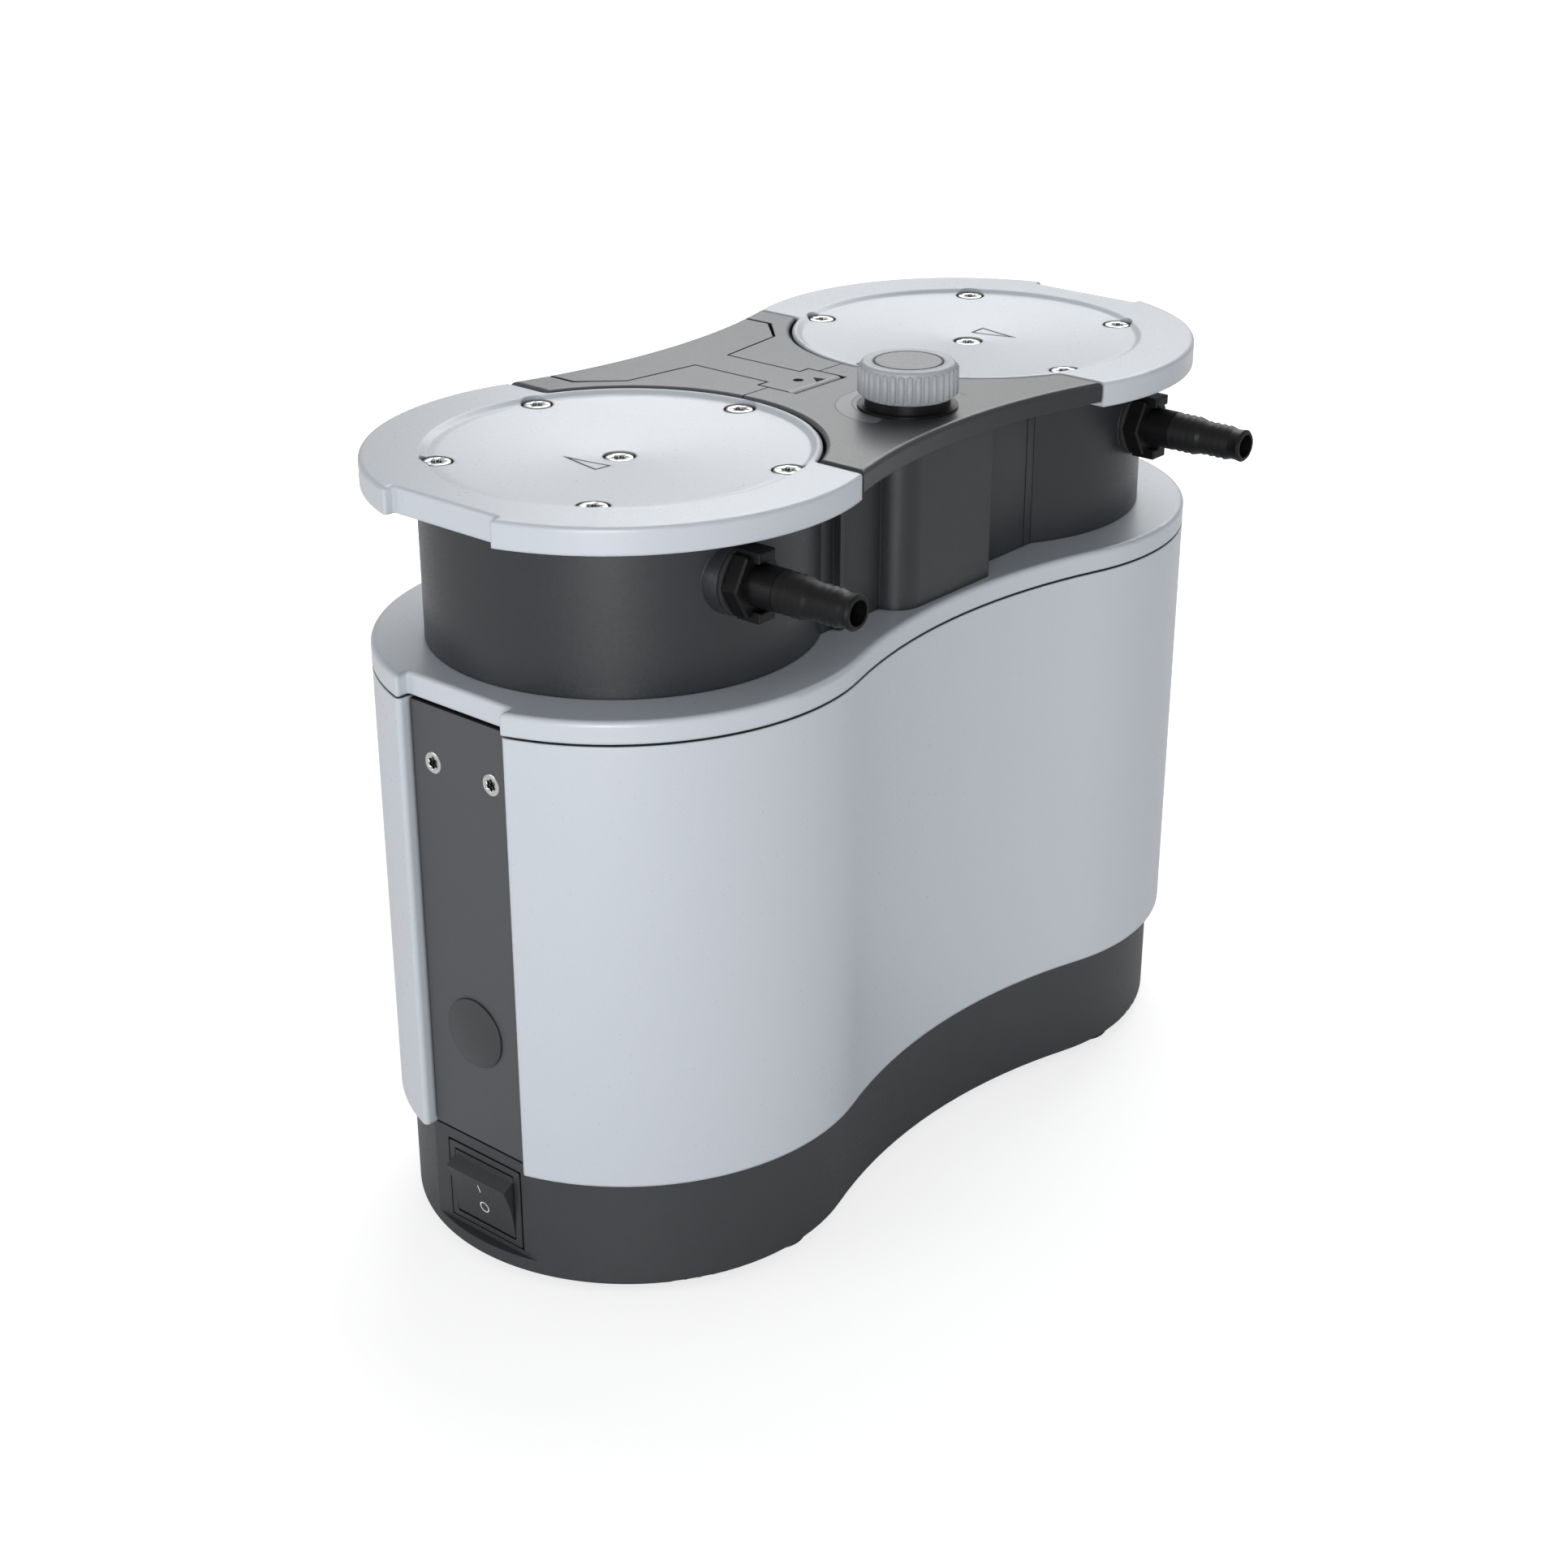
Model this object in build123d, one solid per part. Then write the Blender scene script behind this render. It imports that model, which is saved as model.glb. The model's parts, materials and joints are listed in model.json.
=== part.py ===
from build123d import *
from math import cos, radians, sin, sqrt
import os

# Twin-head diaphragm vacuum pump. Millimetres, +Z up.
# +X runs along the body to the mains inlet end, -Y is the hose side.
# The origin lies midway between the two head axes, on the surface the feet stand on.

# Body in plan: two rounds joined by a tangent waist on each side.
head_spacing = 133.0
body_radius = 59.0
waist_half = 48.4
notch_half = 16.3
end_recess = 5.5
notch_recess = 5.7
edge_round = 1.2

# Feet and base tray
foot_height = 2.1
foot_radius = 8.0
foot_edge_distance = 9.9
foot_stud_radius = 2.4
foot_stud_length = 2.6
base_inset = 3.1
base_wall = 2.6
base_floor = 3.0
base_flat_recess = 5.8
base_ledge_height = 4.2
base_skirt_height = 30.3
base_lip_height = 6.0
base_bottom_round = 1.5

# Side shells and end panels
shell_wall = 2.5
shell_height = 112.0
shell_return_width = 2.4
shell_return_depth = 2.6
shell_seat_thickness = 2.4
shell_end_round = 1.1
panel_thickness = 2.0
panel_backing = 1.0
panel_gap = 0.5
panel_bottom_gap = 0.8
panel_top_gap = 0.4
panel_screw_y = 9.4
panel_screw_drop = 14.6
panel_screw_head_radius = 2.75
panel_screw_radius = 1.5
panel_screw_length = 9.0
panel_screw_cone = 1.3
plug_height_z = 63.2
plug_radius = 8.75
plug_hole_radius = 7.2
plug_rise = 0.9
plug_rim = 0.5
plug_depth = 5.0
slot_count = 8
slot_length = 20.0
slot_width = 2.6
slot_pitch = 6.0
slot_centre_z = 84.0

# Seal and top deck
seal_thickness = 0.6
seal_inset = 0.8
seal_width = 5.0
deck_thickness = 5.2

# Head housings and the gas path inside them
housing_radius = 46.5
housing_height = 37.6
housing_wall = 8.9
clamp_ledge = 7.6
diaphragm_seat_height = 8.8
diaphragm_thickness = 1.6
diaphragm_hole_radius = 3.4
diaphragm_clamp_width = 10.6
valve_plate_thickness = 10.4
valve_plate_dish_slope = 3.0
valve_plate_dish_depth = 6.6
valve_port_radius = 2.0
valve_port_circle = 12.0
valve_disc_thickness = 0.6
gas_chamber_wall = 7.6
gas_chamber_height = 9.5
gas_wall = 6.0
gas_port_radius = 2.9
gas_fit = 0.1

# Head plates, screws and engraved flow arrows
plate_thickness = 6.2
plate_shoulder_inset = 19.0
plate_round = 0.9
plate_corner_round = 2.0
dish_margin = 1.3
dish_step = 1.4
dish_rim_drop = 1.0
dish_centre_drop = 3.1
screw_edge_distance = 4.85
screw_count = 5
screw_head_radius = 3.5
screw_head_height = 2.3
screw_radius = 2.0
screw_length = 22.0
centre_screw_length = 9.0
screw_well_radius = 3.9
screw_socket_flats = 3.6
screw_socket_depth = 1.5
arrow_length = 13.0
arrow_base = 5.2
arrow_offset_x = 9.4
arrow_offset_y = 2.3
arrow_line = 0.5
arrow_depth = 0.45

# Centre housing and bridge cover
centre_wall_inset = 8.9
centre_wall = 3.0
centre_box_left = -20.0
centre_box_right = 15.0
centre_box_inset = 2.4
centre_box_round = 7.0
centre_rib_x = -36.6
centre_seam_x = 39.0
centre_seam_width = 0.4
centre_seam_depth = 0.6
centre_rib_thickness = 1.6
centre_rib_reach = 2.2
bridge_thickness = 5.0
bridge_rise = 0.2
bridge_gap = 0.7
bridge_round = 1.2
bridge_split_y = 4.0
bridge_split_gap = 0.3

# Gas ballast lever let into the bridge cover
lever_gap = 0.5
lever_head_half = 9.4
lever_head_front = -4.4
lever_head_back = 7.1
lever_neck_half = 5.9
lever_neck_end = 31.5
lever_shoulder_y = 34.5
lever_shoulder_half = 27.5
lever_tip_y = 44.0
lever_tip_half = 36.5
lever_pin_radius = 1.0
lever_pin_overhang = 3.0
lever_pin_clearance = 0.05
lever_dot_radius = 1.3
lever_dot_depth = 0.6
ballast_seat_y = 20.0
ballast_seat_radius = 4.4
ballast_seat_height = 5.0
ballast_bore_radius = 1.6
ballast_gap = 0.3

# Flow knob, its collar and the crescent scale
knob_y = -31.45
knob_radius = 12.1
knob_height = 8.2
knob_round = 1.7
knob_ridges = 44
knob_groove_radius = 0.42
knob_gap = 0.2
knob_cap_radius = 8.1
knob_cap_gap = 0.35
knob_cap_depth = 1.6
knob_stem_radius = 3.0
knob_stem_depth = 22.0
stem_clearance = 0.05
collar_radius = 10.3
collar_height = 2.6
collar_flange_radius = 12.1
collar_flange_height = 0.5
collar_root_radius = 6.0
collar_root_depth = 18.0
scale_radius = 17.3
scale_thick_end = 4.6
scale_thin_end = 0.6
scale_start_deg = -18.0
scale_end_deg = 192.0
scale_depth = 0.6
scale_end_round = 1.4

# Hose connectors
connector_offset_x = 11.0
connector_drop = 18.6
connector_spot_gap = 0.1
port_boss_radius = 8.4
port_boss_depth = 7.0
washer_radius = 8.0
washer_thickness = 1.0
thread_radius = 4.8
thread_length = 5.0
thread_fit = 0.05
hex_flats = 14.0
hex_height = 4.2
hex_lug_width = 5.4
hex_lug_inner = 5.6
hex_lug_thickness = 2.5
hex_lug_reach = 2.4
pipe_radius = 4.9
pipe_length = 7.0
barb_pitch = 2.0
barb_count = 4
barb_depth = 0.5
small_pipe_radius = 4.35
step_length = 1.2
nose_length = 3.2
nose_radius = 4.1
nose_chamfer = 0.5

# Rocker switch
switch_z = 18.4
bezel_half_width = 12.05
bezel_half_height = 10.65
bezel_thickness = 1.2
bezel_pocket_depth = 1.0
bezel_pocket_gap = 0.45
bezel_corner = 0.6
switch_body_half_width = 10.9
switch_body_half_height = 9.8
switch_body_depth = 15.0
switch_cut_clearance = 0.1
rocker_radius = 8.9
rocker_half_width = 9.9
rocker_window_gap = 0.2
rocker_pivot_depth = 2.4
rocker_low_edge = 2.6
rocker_ridge_out = 5.85
rocker_ridge_up = 5.65
rocker_shelf_z = 7.35
rocker_face_sag = 0.7
rocker_back = 3.0
trunnion_radius = 1.2
trunnion_length = 0.6
trunnion_clearance = 0.05

# Mains inlet
inlet_z = 19.2
inlet_flange_width = 30.6
inlet_flange_height = 23.2
inlet_flange_thickness = 2.2
inlet_body_width = 27.0
inlet_body_height = 19.8
inlet_body_depth = 20.0
inlet_cut_clearance = 0.2
socket_width = 24.0
socket_height = 16.6
socket_depth = 17.0
socket_chamfer = 5.0
blade_width = 2.0
blade_height = 4.0
blade_length = 14.5
blade_root = 2.5
blade_spacing = 7.0
blade_stagger = 2.0

# Motor and crank drive
shaft_z = 78.0
shaft_radius = 5.0
shaft_half_length = 80.0
stator_radius = 40.0
stator_half_length = 32.0
stator_bore = 22.0
air_gap = 0.5
rotor_half_length = 30.0
shield_radius = 41.5
shield_thickness = 6.0
shield_hub_radius = 15.0
shield_hub_reach = 9.0
bearing_radius = 11.0
bearing_width = 8.0
running_clearance = 0.04
crank_throw = 3.0
eccentric_radius = 10.0
eccentric_width = 12.0
rod_bearing_radius = 15.0
rod_eye_radius = 19.0
rod_width = 11.0
rod_foot_half = 9.0
rod_neck_half = 6.0
rod_flange_radius = 15.0
rod_flange_thickness = 3.6
rod_stud_radius = 2.9
clamp_thickness = 2.0
clamp_gap = 0.3
cradle_half_length = 27.0
cradle_half_width = 27.0
cradle_side_height = 52.0

# Levels and offsets that follow from the sizes above
head_x = head_spacing / 2
panel_face_x = head_x + body_radius - end_recess
notch_face_x = head_x + body_radius - notch_recess
base_flat_x = head_x + body_radius - base_flat_recess
chamber_radius = housing_radius - housing_wall
rod_bore_radius = chamber_radius - clamp_ledge
gas_chamber_radius = chamber_radius - gas_chamber_wall
screw_circle = housing_radius - screw_edge_distance
dish_radius = housing_radius - dish_margin
diaphragm_slack_radius = chamber_radius - diaphragm_clamp_width
valve_plate_dish_radius = diaphragm_slack_radius - valve_plate_dish_slope
connector_seat_y = housing_radius + connector_spot_gap
port_boss_root_y = housing_radius - port_boss_depth
base_radius = body_radius - base_inset
base_waist = waist_half - base_inset
plate_shoulder_x = head_x - plate_shoulder_inset
base_bottom = foot_height
centre_wall_y = waist_half - centre_wall_inset
centre_box_face_y = waist_half - centre_box_inset
foot_row_y = base_radius - foot_edge_distance
shell_bottom = base_bottom + base_skirt_height
base_top = shell_bottom + base_lip_height
shell_top = shell_bottom + shell_height
deck_bottom = shell_top + seal_thickness
deck_top = deck_bottom + deck_thickness
plate_bottom = deck_top + housing_height
plate_top = plate_bottom + plate_thickness
screw_plane = plate_top - dish_rim_drop
dish_centre_z = plate_top - dish_centre_drop
bridge_top = plate_top + bridge_rise
bridge_bottom = bridge_top - bridge_thickness
diaphragm_z = deck_top + diaphragm_seat_height
valve_plate_z = diaphragm_z + diaphragm_thickness
valve_disc_z = valve_plate_z + valve_plate_thickness
valve_body_z = valve_disc_z + valve_disc_thickness
lever_pivot_z = bridge_top - bridge_thickness / 2
lever_pivot_y = lever_head_front + bridge_thickness / 2
lever_pin_half = lever_head_half + lever_gap + lever_pin_overhang
connector_z = plate_top - connector_drop
knob_bottom = bridge_top + collar_height + knob_gap
knob_top = knob_bottom + knob_height
panel_screw_z = shell_top - panel_screw_drop
rocker_pivot_x = -base_flat_x + rocker_pivot_depth
panel_half = notch_half - panel_gap


def slab(face, low, high):
    return Pos(0, 0, low) * extrude(face, high - low)


def waisted_plan(radius, half):
    # Two rounds on the head axes, joined by concave arcs tangent to both.
    blend = (head_x**2 + half**2 - radius**2) / (2 * (radius - half))
    reach = radius + blend
    tangent_x = head_x * (1 - radius / reach)
    tangent_y = radius * (half + blend) / reach
    return make_face(
        [
            ThreePointArc((tangent_x, -tangent_y), (head_x + radius, 0), (tangent_x, tangent_y)),
            ThreePointArc((tangent_x, tangent_y), (0, half), (-tangent_x, tangent_y)),
            ThreePointArc((-tangent_x, tangent_y), (-head_x - radius, 0), (-tangent_x, -tangent_y)),
            ThreePointArc((-tangent_x, -tangent_y), (0, -half), (tangent_x, -tangent_y)),
        ]
    )


def rod_z(radius, low, high, x=0.0, y=0.0):
    return Pos(x, y, (low + high) / 2) * Cylinder(radius, high - low)


def rod_x(radius, low, high, y=0.0, z=0.0):
    return Pos((low + high) / 2, y, z) * Rot(0, 90, 0) * Cylinder(radius, high - low)


def rod_y(radius, low, high, x=0.0, z=0.0):
    return Pos(x, (low + high) / 2, z) * Rot(90, 0, 0) * Cylinder(radius, high - low)


def block(low, high):
    size = [b - a for a, b in zip(low, high)]
    centre = [(a + b) / 2 for a, b in zip(low, high)]
    return Pos(*centre) * Box(*size)


def lathe_z(points):
    # A closed outline of (radius, z) pairs turned about the Z axis.
    outline = make_face(Polyline(*[(r, 0, z) for r, z in points], close=True))
    return revolve(outline, Axis.Z)


def end_notches(face_x, half):
    # What is cut from a plan to leave the recessed flats at both ends.
    reach = body_radius
    cut = Pos(face_x + reach / 2, 0) * Rectangle(reach, 2 * half)
    return cut + Pos(-face_x - reach / 2, 0) * Rectangle(reach, 2 * half)


def rubber_feet():
    feet = Part()
    for x in (-head_x, head_x):
        for y in (-foot_row_y, foot_row_y):
            pad = rod_z(foot_radius, 0, foot_height)
            pad = fillet(pad.edges().sort_by(Axis.Z)[0], foot_height / 3)
            pad += rod_z(foot_stud_radius, foot_height / 2, foot_height + foot_stud_length)
            feet += Pos(x, y, 0) * pad
    return feet


def base_tray():
    tray = slab(waisted_plan(base_radius, base_waist), base_bottom, base_top)
    tray = fillet(tray.edges().group_by(Axis.Z)[0], base_bottom_round)
    ledge_top = base_bottom + base_ledge_height
    far = head_x + body_radius
    for end in (-1, 1):
        outside = sorted((end * base_flat_x, end * far))
        tray -= block((outside[0], -body_radius, ledge_top), (outside[1], body_radius, base_top))
    inner_flat = base_flat_x - base_wall
    room = waisted_plan(base_radius - base_wall, base_waist - base_wall)
    room &= Rectangle(2 * inner_flat, 2 * body_radius)
    tray -= slab(room, base_bottom + base_floor, base_top)
    relief = notch_half + shell_return_width + panel_gap
    for end in (-1, 1):
        low, high = sorted((end * (inner_flat - base_wall), end * far))
        tray -= block((low, -relief, shell_bottom), (high, relief, base_top))
    cut_y = switch_body_half_width + switch_cut_clearance
    cut_z = switch_body_half_height + switch_cut_clearance
    tray -= block((-far, -cut_y, switch_z - cut_z), (-inner_flat + 1, cut_y, switch_z + cut_z))
    pocket_y = bezel_half_width + bezel_pocket_gap
    pocket_z = bezel_half_height + bezel_pocket_gap
    pocket_x = -base_flat_x + bezel_pocket_depth
    tray -= block((-far, -pocket_y, switch_z - pocket_z), (pocket_x, pocket_y, switch_z + pocket_z))
    cut_y = inlet_body_width / 2 + inlet_cut_clearance
    cut_z = inlet_body_height / 2 + inlet_cut_clearance
    tray -= block((inner_flat - 1, -cut_y, inlet_z - cut_z), (far, cut_y, inlet_z + cut_z))
    for x in (-head_x, head_x):
        for y in (-foot_row_y, foot_row_y):
            tray -= rod_z(foot_stud_radius, base_bottom, base_bottom + base_floor, x, y)
    return tray


def side_shell(side):
    outer = waisted_plan(body_radius, waist_half)
    plan = outer - waisted_plan(body_radius - shell_wall, waist_half - shell_wall)
    far = head_x + body_radius
    for end in (-1, 1):
        low, high = sorted((end * (panel_face_x - shell_return_depth), end * far))
        strip = Pos((low + high) / 2, side * (notch_half + shell_return_width / 2))
        plan += outer & (strip * Rectangle(high - low, shell_return_width))
    half_plane = Pos(0, side * (notch_half + body_radius)) * Rectangle(3 * far, 2 * body_radius)
    shell = slab(plan & half_plane, shell_bottom, shell_top)
    corners = [
        edge
        for edge in shell.edges().filter_by(Axis.Z)
        if abs(abs(edge.center().Y) - notch_half) < 0.01 and abs(edge.center().X) > panel_face_x
    ]
    shell = fillet(corners, shell_end_round)
    seat_plan = waisted_plan(body_radius - shell_wall / 2, waist_half - shell_wall / 2)
    seat_plan -= waisted_plan(base_radius - base_wall, base_waist - base_wall)
    seat_start = notch_half + shell_return_width
    seat_half = Pos(0, side * (seat_start + body_radius)) * Rectangle(3 * far, 2 * body_radius)
    return shell + slab(seat_plan & seat_half, base_top, base_top + shell_seat_thickness)


def panel_screw(end):
    cone_end = panel_face_x - panel_screw_cone
    tip = panel_face_x - panel_screw_length
    body = lathe_z(
        [
            (0, tip),
            (panel_screw_radius, tip),
            (panel_screw_radius, cone_end),
            (panel_screw_head_radius, panel_face_x),
            (0, panel_face_x),
        ]
    )
    body -= Pos(0, 0, panel_face_x - screw_socket_depth / 2) * extrude(
        RegularPolygon(screw_socket_flats / 2, 6), screw_socket_depth
    )
    return Rot(0, 90 * end, 0) * body


def panel_screw_blank(end):
    cone_end = panel_face_x - panel_screw_cone
    body = lathe_z(
        [
            (0, panel_face_x - panel_screw_length),
            (panel_screw_radius, panel_face_x - panel_screw_length),
            (panel_screw_radius, cone_end),
            (panel_screw_head_radius, panel_face_x),
            (panel_screw_head_radius, panel_face_x + panel_thickness),
            (0, panel_face_x + panel_thickness),
        ]
    )
    return Rot(0, 90 * end, 0) * body


def panel_screws(end):
    pair = Part()
    for y in (-panel_screw_y, panel_screw_y):
        pair += Pos(0, y, panel_screw_z) * panel_screw(end)
    return pair


def end_panel(end):
    front = end * panel_face_x
    back = end * (panel_face_x - panel_thickness)
    rear = end * (panel_face_x - panel_thickness - panel_backing)
    low, high = sorted((back, front))
    plate = block((low, -panel_half, shell_bottom + panel_bottom_gap), (high, panel_half, shell_top - panel_top_gap))
    rims = [e for e in plate.edges().filter_by(Axis.Z) if abs(abs(e.center().X) - panel_face_x) < 0.01]
    plate = fillet(rims, panel_gap)
    low, high = sorted((rear, back))
    inner_half = panel_half - panel_backing
    plate += block((low, -inner_half, shell_bottom), (high, inner_half, shell_top))
    for y in (-panel_screw_y, panel_screw_y):
        plate -= Pos(0, y, panel_screw_z) * panel_screw_blank(end)
    return plate


def front_panel():
    inside = -panel_face_x + panel_thickness + panel_backing
    return end_panel(-1) - rod_x(plug_hole_radius, -panel_face_x, inside, 0, plug_height_z)


def rear_panel():
    panel = end_panel(1)
    inside = panel_face_x - panel_thickness - panel_backing
    for i in range(slot_count):
        z = slot_centre_z + (i - (slot_count - 1) / 2) * slot_pitch
        slot = Pos(0, 0, inside) * extrude(SlotOverall(slot_length, slot_width), panel_face_x - inside)
        panel -= Pos(0, 0, z) * Rot(0, 90, 0) * Rot(0, 0, 90) * slot
    return panel


def blanking_plug():
    dome_radius = (plug_radius**2 + plug_rise**2) / (2 * plug_rise)
    dome = rod_z(plug_radius, 0, plug_rim + plug_rise)
    ball = Pos(0, 0, plug_rim + plug_rise - dome_radius) * Sphere(dome_radius)
    body = (dome & ball) + rod_z(plug_hole_radius, -plug_depth, 0)
    return Pos(-panel_face_x, 0, plug_height_z) * Rot(0, -90, 0) * body


def deck_seal():
    outer = waisted_plan(body_radius - seal_inset, waist_half - seal_inset)
    outer &= Rectangle(2 * (notch_face_x - seal_inset), 2 * body_radius)
    inner = waisted_plan(body_radius - seal_inset - seal_width, waist_half - seal_inset - seal_width)
    inner &= Rectangle(2 * (notch_face_x - seal_inset - seal_width), 2 * body_radius)
    return slab(outer - inner, shell_top, deck_bottom)


def top_deck():
    plan = waisted_plan(body_radius, waist_half) - end_notches(notch_face_x, notch_half)
    deck = slab(plan, deck_bottom, deck_top)
    deck = fillet(deck.edges().filter_by(Axis.Z).group_by(SortBy.LENGTH)[0], edge_round / 2)
    deck = fillet(deck.edges().group_by(Axis.Z)[-1], edge_round)
    for x in (-head_x, head_x):
        deck -= rod_z(rod_bore_radius, deck_bottom, deck_top, x)
    return deck


def head_housing(side):
    x = side * head_x
    port_x = side * (head_x + connector_offset_x)
    body = rod_z(housing_radius, deck_top, plate_bottom, x)
    body += rod_y(port_boss_radius, -connector_seat_y, -port_boss_root_y, port_x, connector_z)
    body -= rod_z(rod_bore_radius, deck_top, plate_bottom, x)
    body -= rod_z(chamber_radius, diaphragm_z, plate_bottom, x)
    body -= rod_y(thread_radius + thread_fit, -connector_seat_y, -connector_seat_y + thread_length, port_x, connector_z)
    body -= rod_y(gas_port_radius, -connector_seat_y, -gas_chamber_radius, port_x, connector_z)
    body -= screw_positions(side, rod_z(screw_radius, screw_plane - screw_head_height - screw_length, plate_bottom))
    return body


def screw_positions(side, one):
    # The screw circle starts at the screw that points to the middle of the machine.
    placed = Part()
    start = 0 if side < 0 else 180
    for i in range(screw_count):
        angle = radians(start + 360 * i / screw_count)
        x = side * head_x + screw_circle * cos(angle)
        placed += Pos(x, screw_circle * sin(angle), 0) * one
    return placed


def diaphragm(side):
    lift = -side * crank_throw
    centre_low = diaphragm_z + lift
    inner = rod_flange_radius + 1
    mid = (inner + diaphragm_slack_radius) / 2
    sag = diaphragm_thickness * 1.2
    low = make_face(
        [
            Line((diaphragm_hole_radius, 0, centre_low), (inner, 0, centre_low)),
            ThreePointArc(
                (inner, 0, centre_low),
                (mid, 0, diaphragm_z + lift / 2 - sag),
                (diaphragm_slack_radius, 0, diaphragm_z),
            ),
            Line((diaphragm_slack_radius, 0, diaphragm_z), (chamber_radius, 0, diaphragm_z)),
            Line((chamber_radius, 0, diaphragm_z), (chamber_radius, 0, valve_plate_z)),
            Line((chamber_radius, 0, valve_plate_z), (diaphragm_slack_radius, 0, valve_plate_z)),
            ThreePointArc(
                (diaphragm_slack_radius, 0, valve_plate_z),
                (mid, 0, valve_plate_z + lift / 2 - sag),
                (inner, 0, centre_low + diaphragm_thickness),
            ),
            Line(
                (inner, 0, centre_low + diaphragm_thickness),
                (diaphragm_hole_radius, 0, centre_low + diaphragm_thickness),
            ),
            Line(
                (diaphragm_hole_radius, 0, centre_low + diaphragm_thickness),
                (diaphragm_hole_radius, 0, centre_low),
            ),
        ]
    )
    return Pos(side * head_x, 0, 0) * revolve(low, Axis.Z)


def valve_plate(side):
    x = side * head_x
    plate = rod_z(chamber_radius, valve_plate_z, valve_disc_z, x)
    dish = lathe_z(
        [
            (0, valve_plate_z),
            (diaphragm_slack_radius, valve_plate_z),
            (valve_plate_dish_radius, valve_plate_z + valve_plate_dish_depth),
            (0, valve_plate_z + valve_plate_dish_depth),
        ]
    )
    plate -= Pos(x, 0, 0) * dish
    for y in (-valve_port_circle, valve_port_circle):
        plate -= rod_z(valve_port_radius, valve_plate_z, valve_disc_z, x, y)
    return plate


def valve_disc(side):
    x = side * head_x
    disc = rod_z(chamber_radius, valve_disc_z, valve_body_z, x)
    for y in (-valve_port_circle, valve_port_circle):
        ring = rod_z(3 * valve_port_radius, valve_disc_z, valve_body_z, x, y)
        ring -= rod_z(2 * valve_port_radius, valve_disc_z, valve_body_z, x, y)
        tongue = block(
            (x, y - valve_port_radius, valve_disc_z),
            (x + 4 * valve_port_radius, y + valve_port_radius, valve_body_z),
        )
        disc -= ring - tongue
    return disc


def valve_body(side):
    x = side * head_x
    body = rod_z(chamber_radius, valve_body_z, plate_bottom, x)
    room = rod_z(gas_chamber_radius, valve_body_z, valve_body_z + gas_chamber_height, x)
    room -= block(
        (x - body_radius, -gas_wall / 2, valve_body_z),
        (x + body_radius, gas_wall / 2, plate_bottom),
    )
    body -= room
    port_x = side * (head_x + connector_offset_x)
    body -= rod_y(gas_port_radius, -chamber_radius, -gas_wall, port_x, connector_z)
    body -= rod_z(screw_radius, plate_bottom - centre_screw_length, plate_bottom, x)
    return body


def head_plan(side):
    # The full round beyond the shoulder, only the inner disc towards the middle.
    x = side * head_x
    beyond = Pos(side * (plate_shoulder_x + body_radius), 0) * Rectangle(2 * body_radius, 3 * body_radius)
    plan = Pos(x, 0) * Circle(body_radius) & beyond
    plan += Pos(x, 0) * Circle(housing_radius)
    return plan - end_notches(notch_face_x + bridge_gap, notch_half)


def flow_arrow():
    half = arrow_base / 2
    outer = Polyline((-half, 0), (half, 0), (0, arrow_length), close=True)
    face = make_face(outer)
    return face - offset(face, -arrow_line)


def head_plate(side):
    x = side * head_x
    blank = slab(head_plan(side), plate_bottom, plate_top)
    corners = [e for e in blank.edges().filter_by(Axis.Z) if abs(abs(e.center().Y) - notch_half) < 0.01]
    blank = fillet(corners, edge_round / 2)
    shoulder = [e for e in blank.edges().filter_by(Axis.Z) if abs(abs(e.center().X) - plate_shoulder_x) < 0.01]
    inner = [e for e in shoulder if abs(e.center().Y) < housing_radius]
    blank = fillet(inner, plate_corner_round)
    blank = fillet(blank.edges().group_by(Axis.Z)[-1], plate_round)
    above = plate_top + plate_thickness
    dish = lathe_z(
        [
            (0, dish_centre_z),
            (screw_circle, screw_plane),
            (dish_radius - dish_step, screw_plane),
            (dish_radius, plate_top),
            (dish_radius, above),
            (0, above),
        ]
    )
    blank -= Pos(x, 0, 0) * dish
    well = rod_z(screw_well_radius, screw_plane - screw_head_height, above)
    well += rod_z(screw_radius, plate_bottom, above)
    blank -= screw_positions(side, well)
    blank -= rod_z(screw_well_radius, dish_centre_z - screw_head_height, above, x)
    blank -= rod_z(screw_radius, plate_bottom, above, x)
    arrow = slab(flow_arrow(), dish_centre_z - arrow_depth / 2, above)
    arrow = Pos(-arrow_offset_x, -arrow_offset_y - arrow_base / 3, 0) * arrow
    blank -= Pos(x, 0, 0) * (Rot(0, 0, 0 if side < 0 else 180) * arrow)
    return blank


def machine_screw(top, length):
    head = rod_z(screw_head_radius, top - screw_head_height, top)
    head = fillet(head.edges().group_by(Axis.Z)[-1], screw_head_height / 4)
    head += rod_z(screw_radius, top - screw_head_height - length, top - screw_head_height)
    socket = slab(RegularPolygon(screw_socket_flats / 2, 6), top - screw_socket_depth, top)
    return head - socket


def head_plate_screws(side):
    screws = screw_positions(side, machine_screw(screw_plane, screw_length))
    centre = machine_screw(dish_centre_z, centre_screw_length)
    return screws + Pos(side * head_x, 0, 0) * centre


def centre_plan(shrink=0.0):
    half_x = plate_shoulder_x - sqrt(2) * shrink
    plan = Rectangle(2 * half_x, 2 * (centre_wall_y - shrink))
    for side in (-1, 1):
        plan -= Pos(side * head_x, 0) * Circle(housing_radius + shrink)
    return plan


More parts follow.
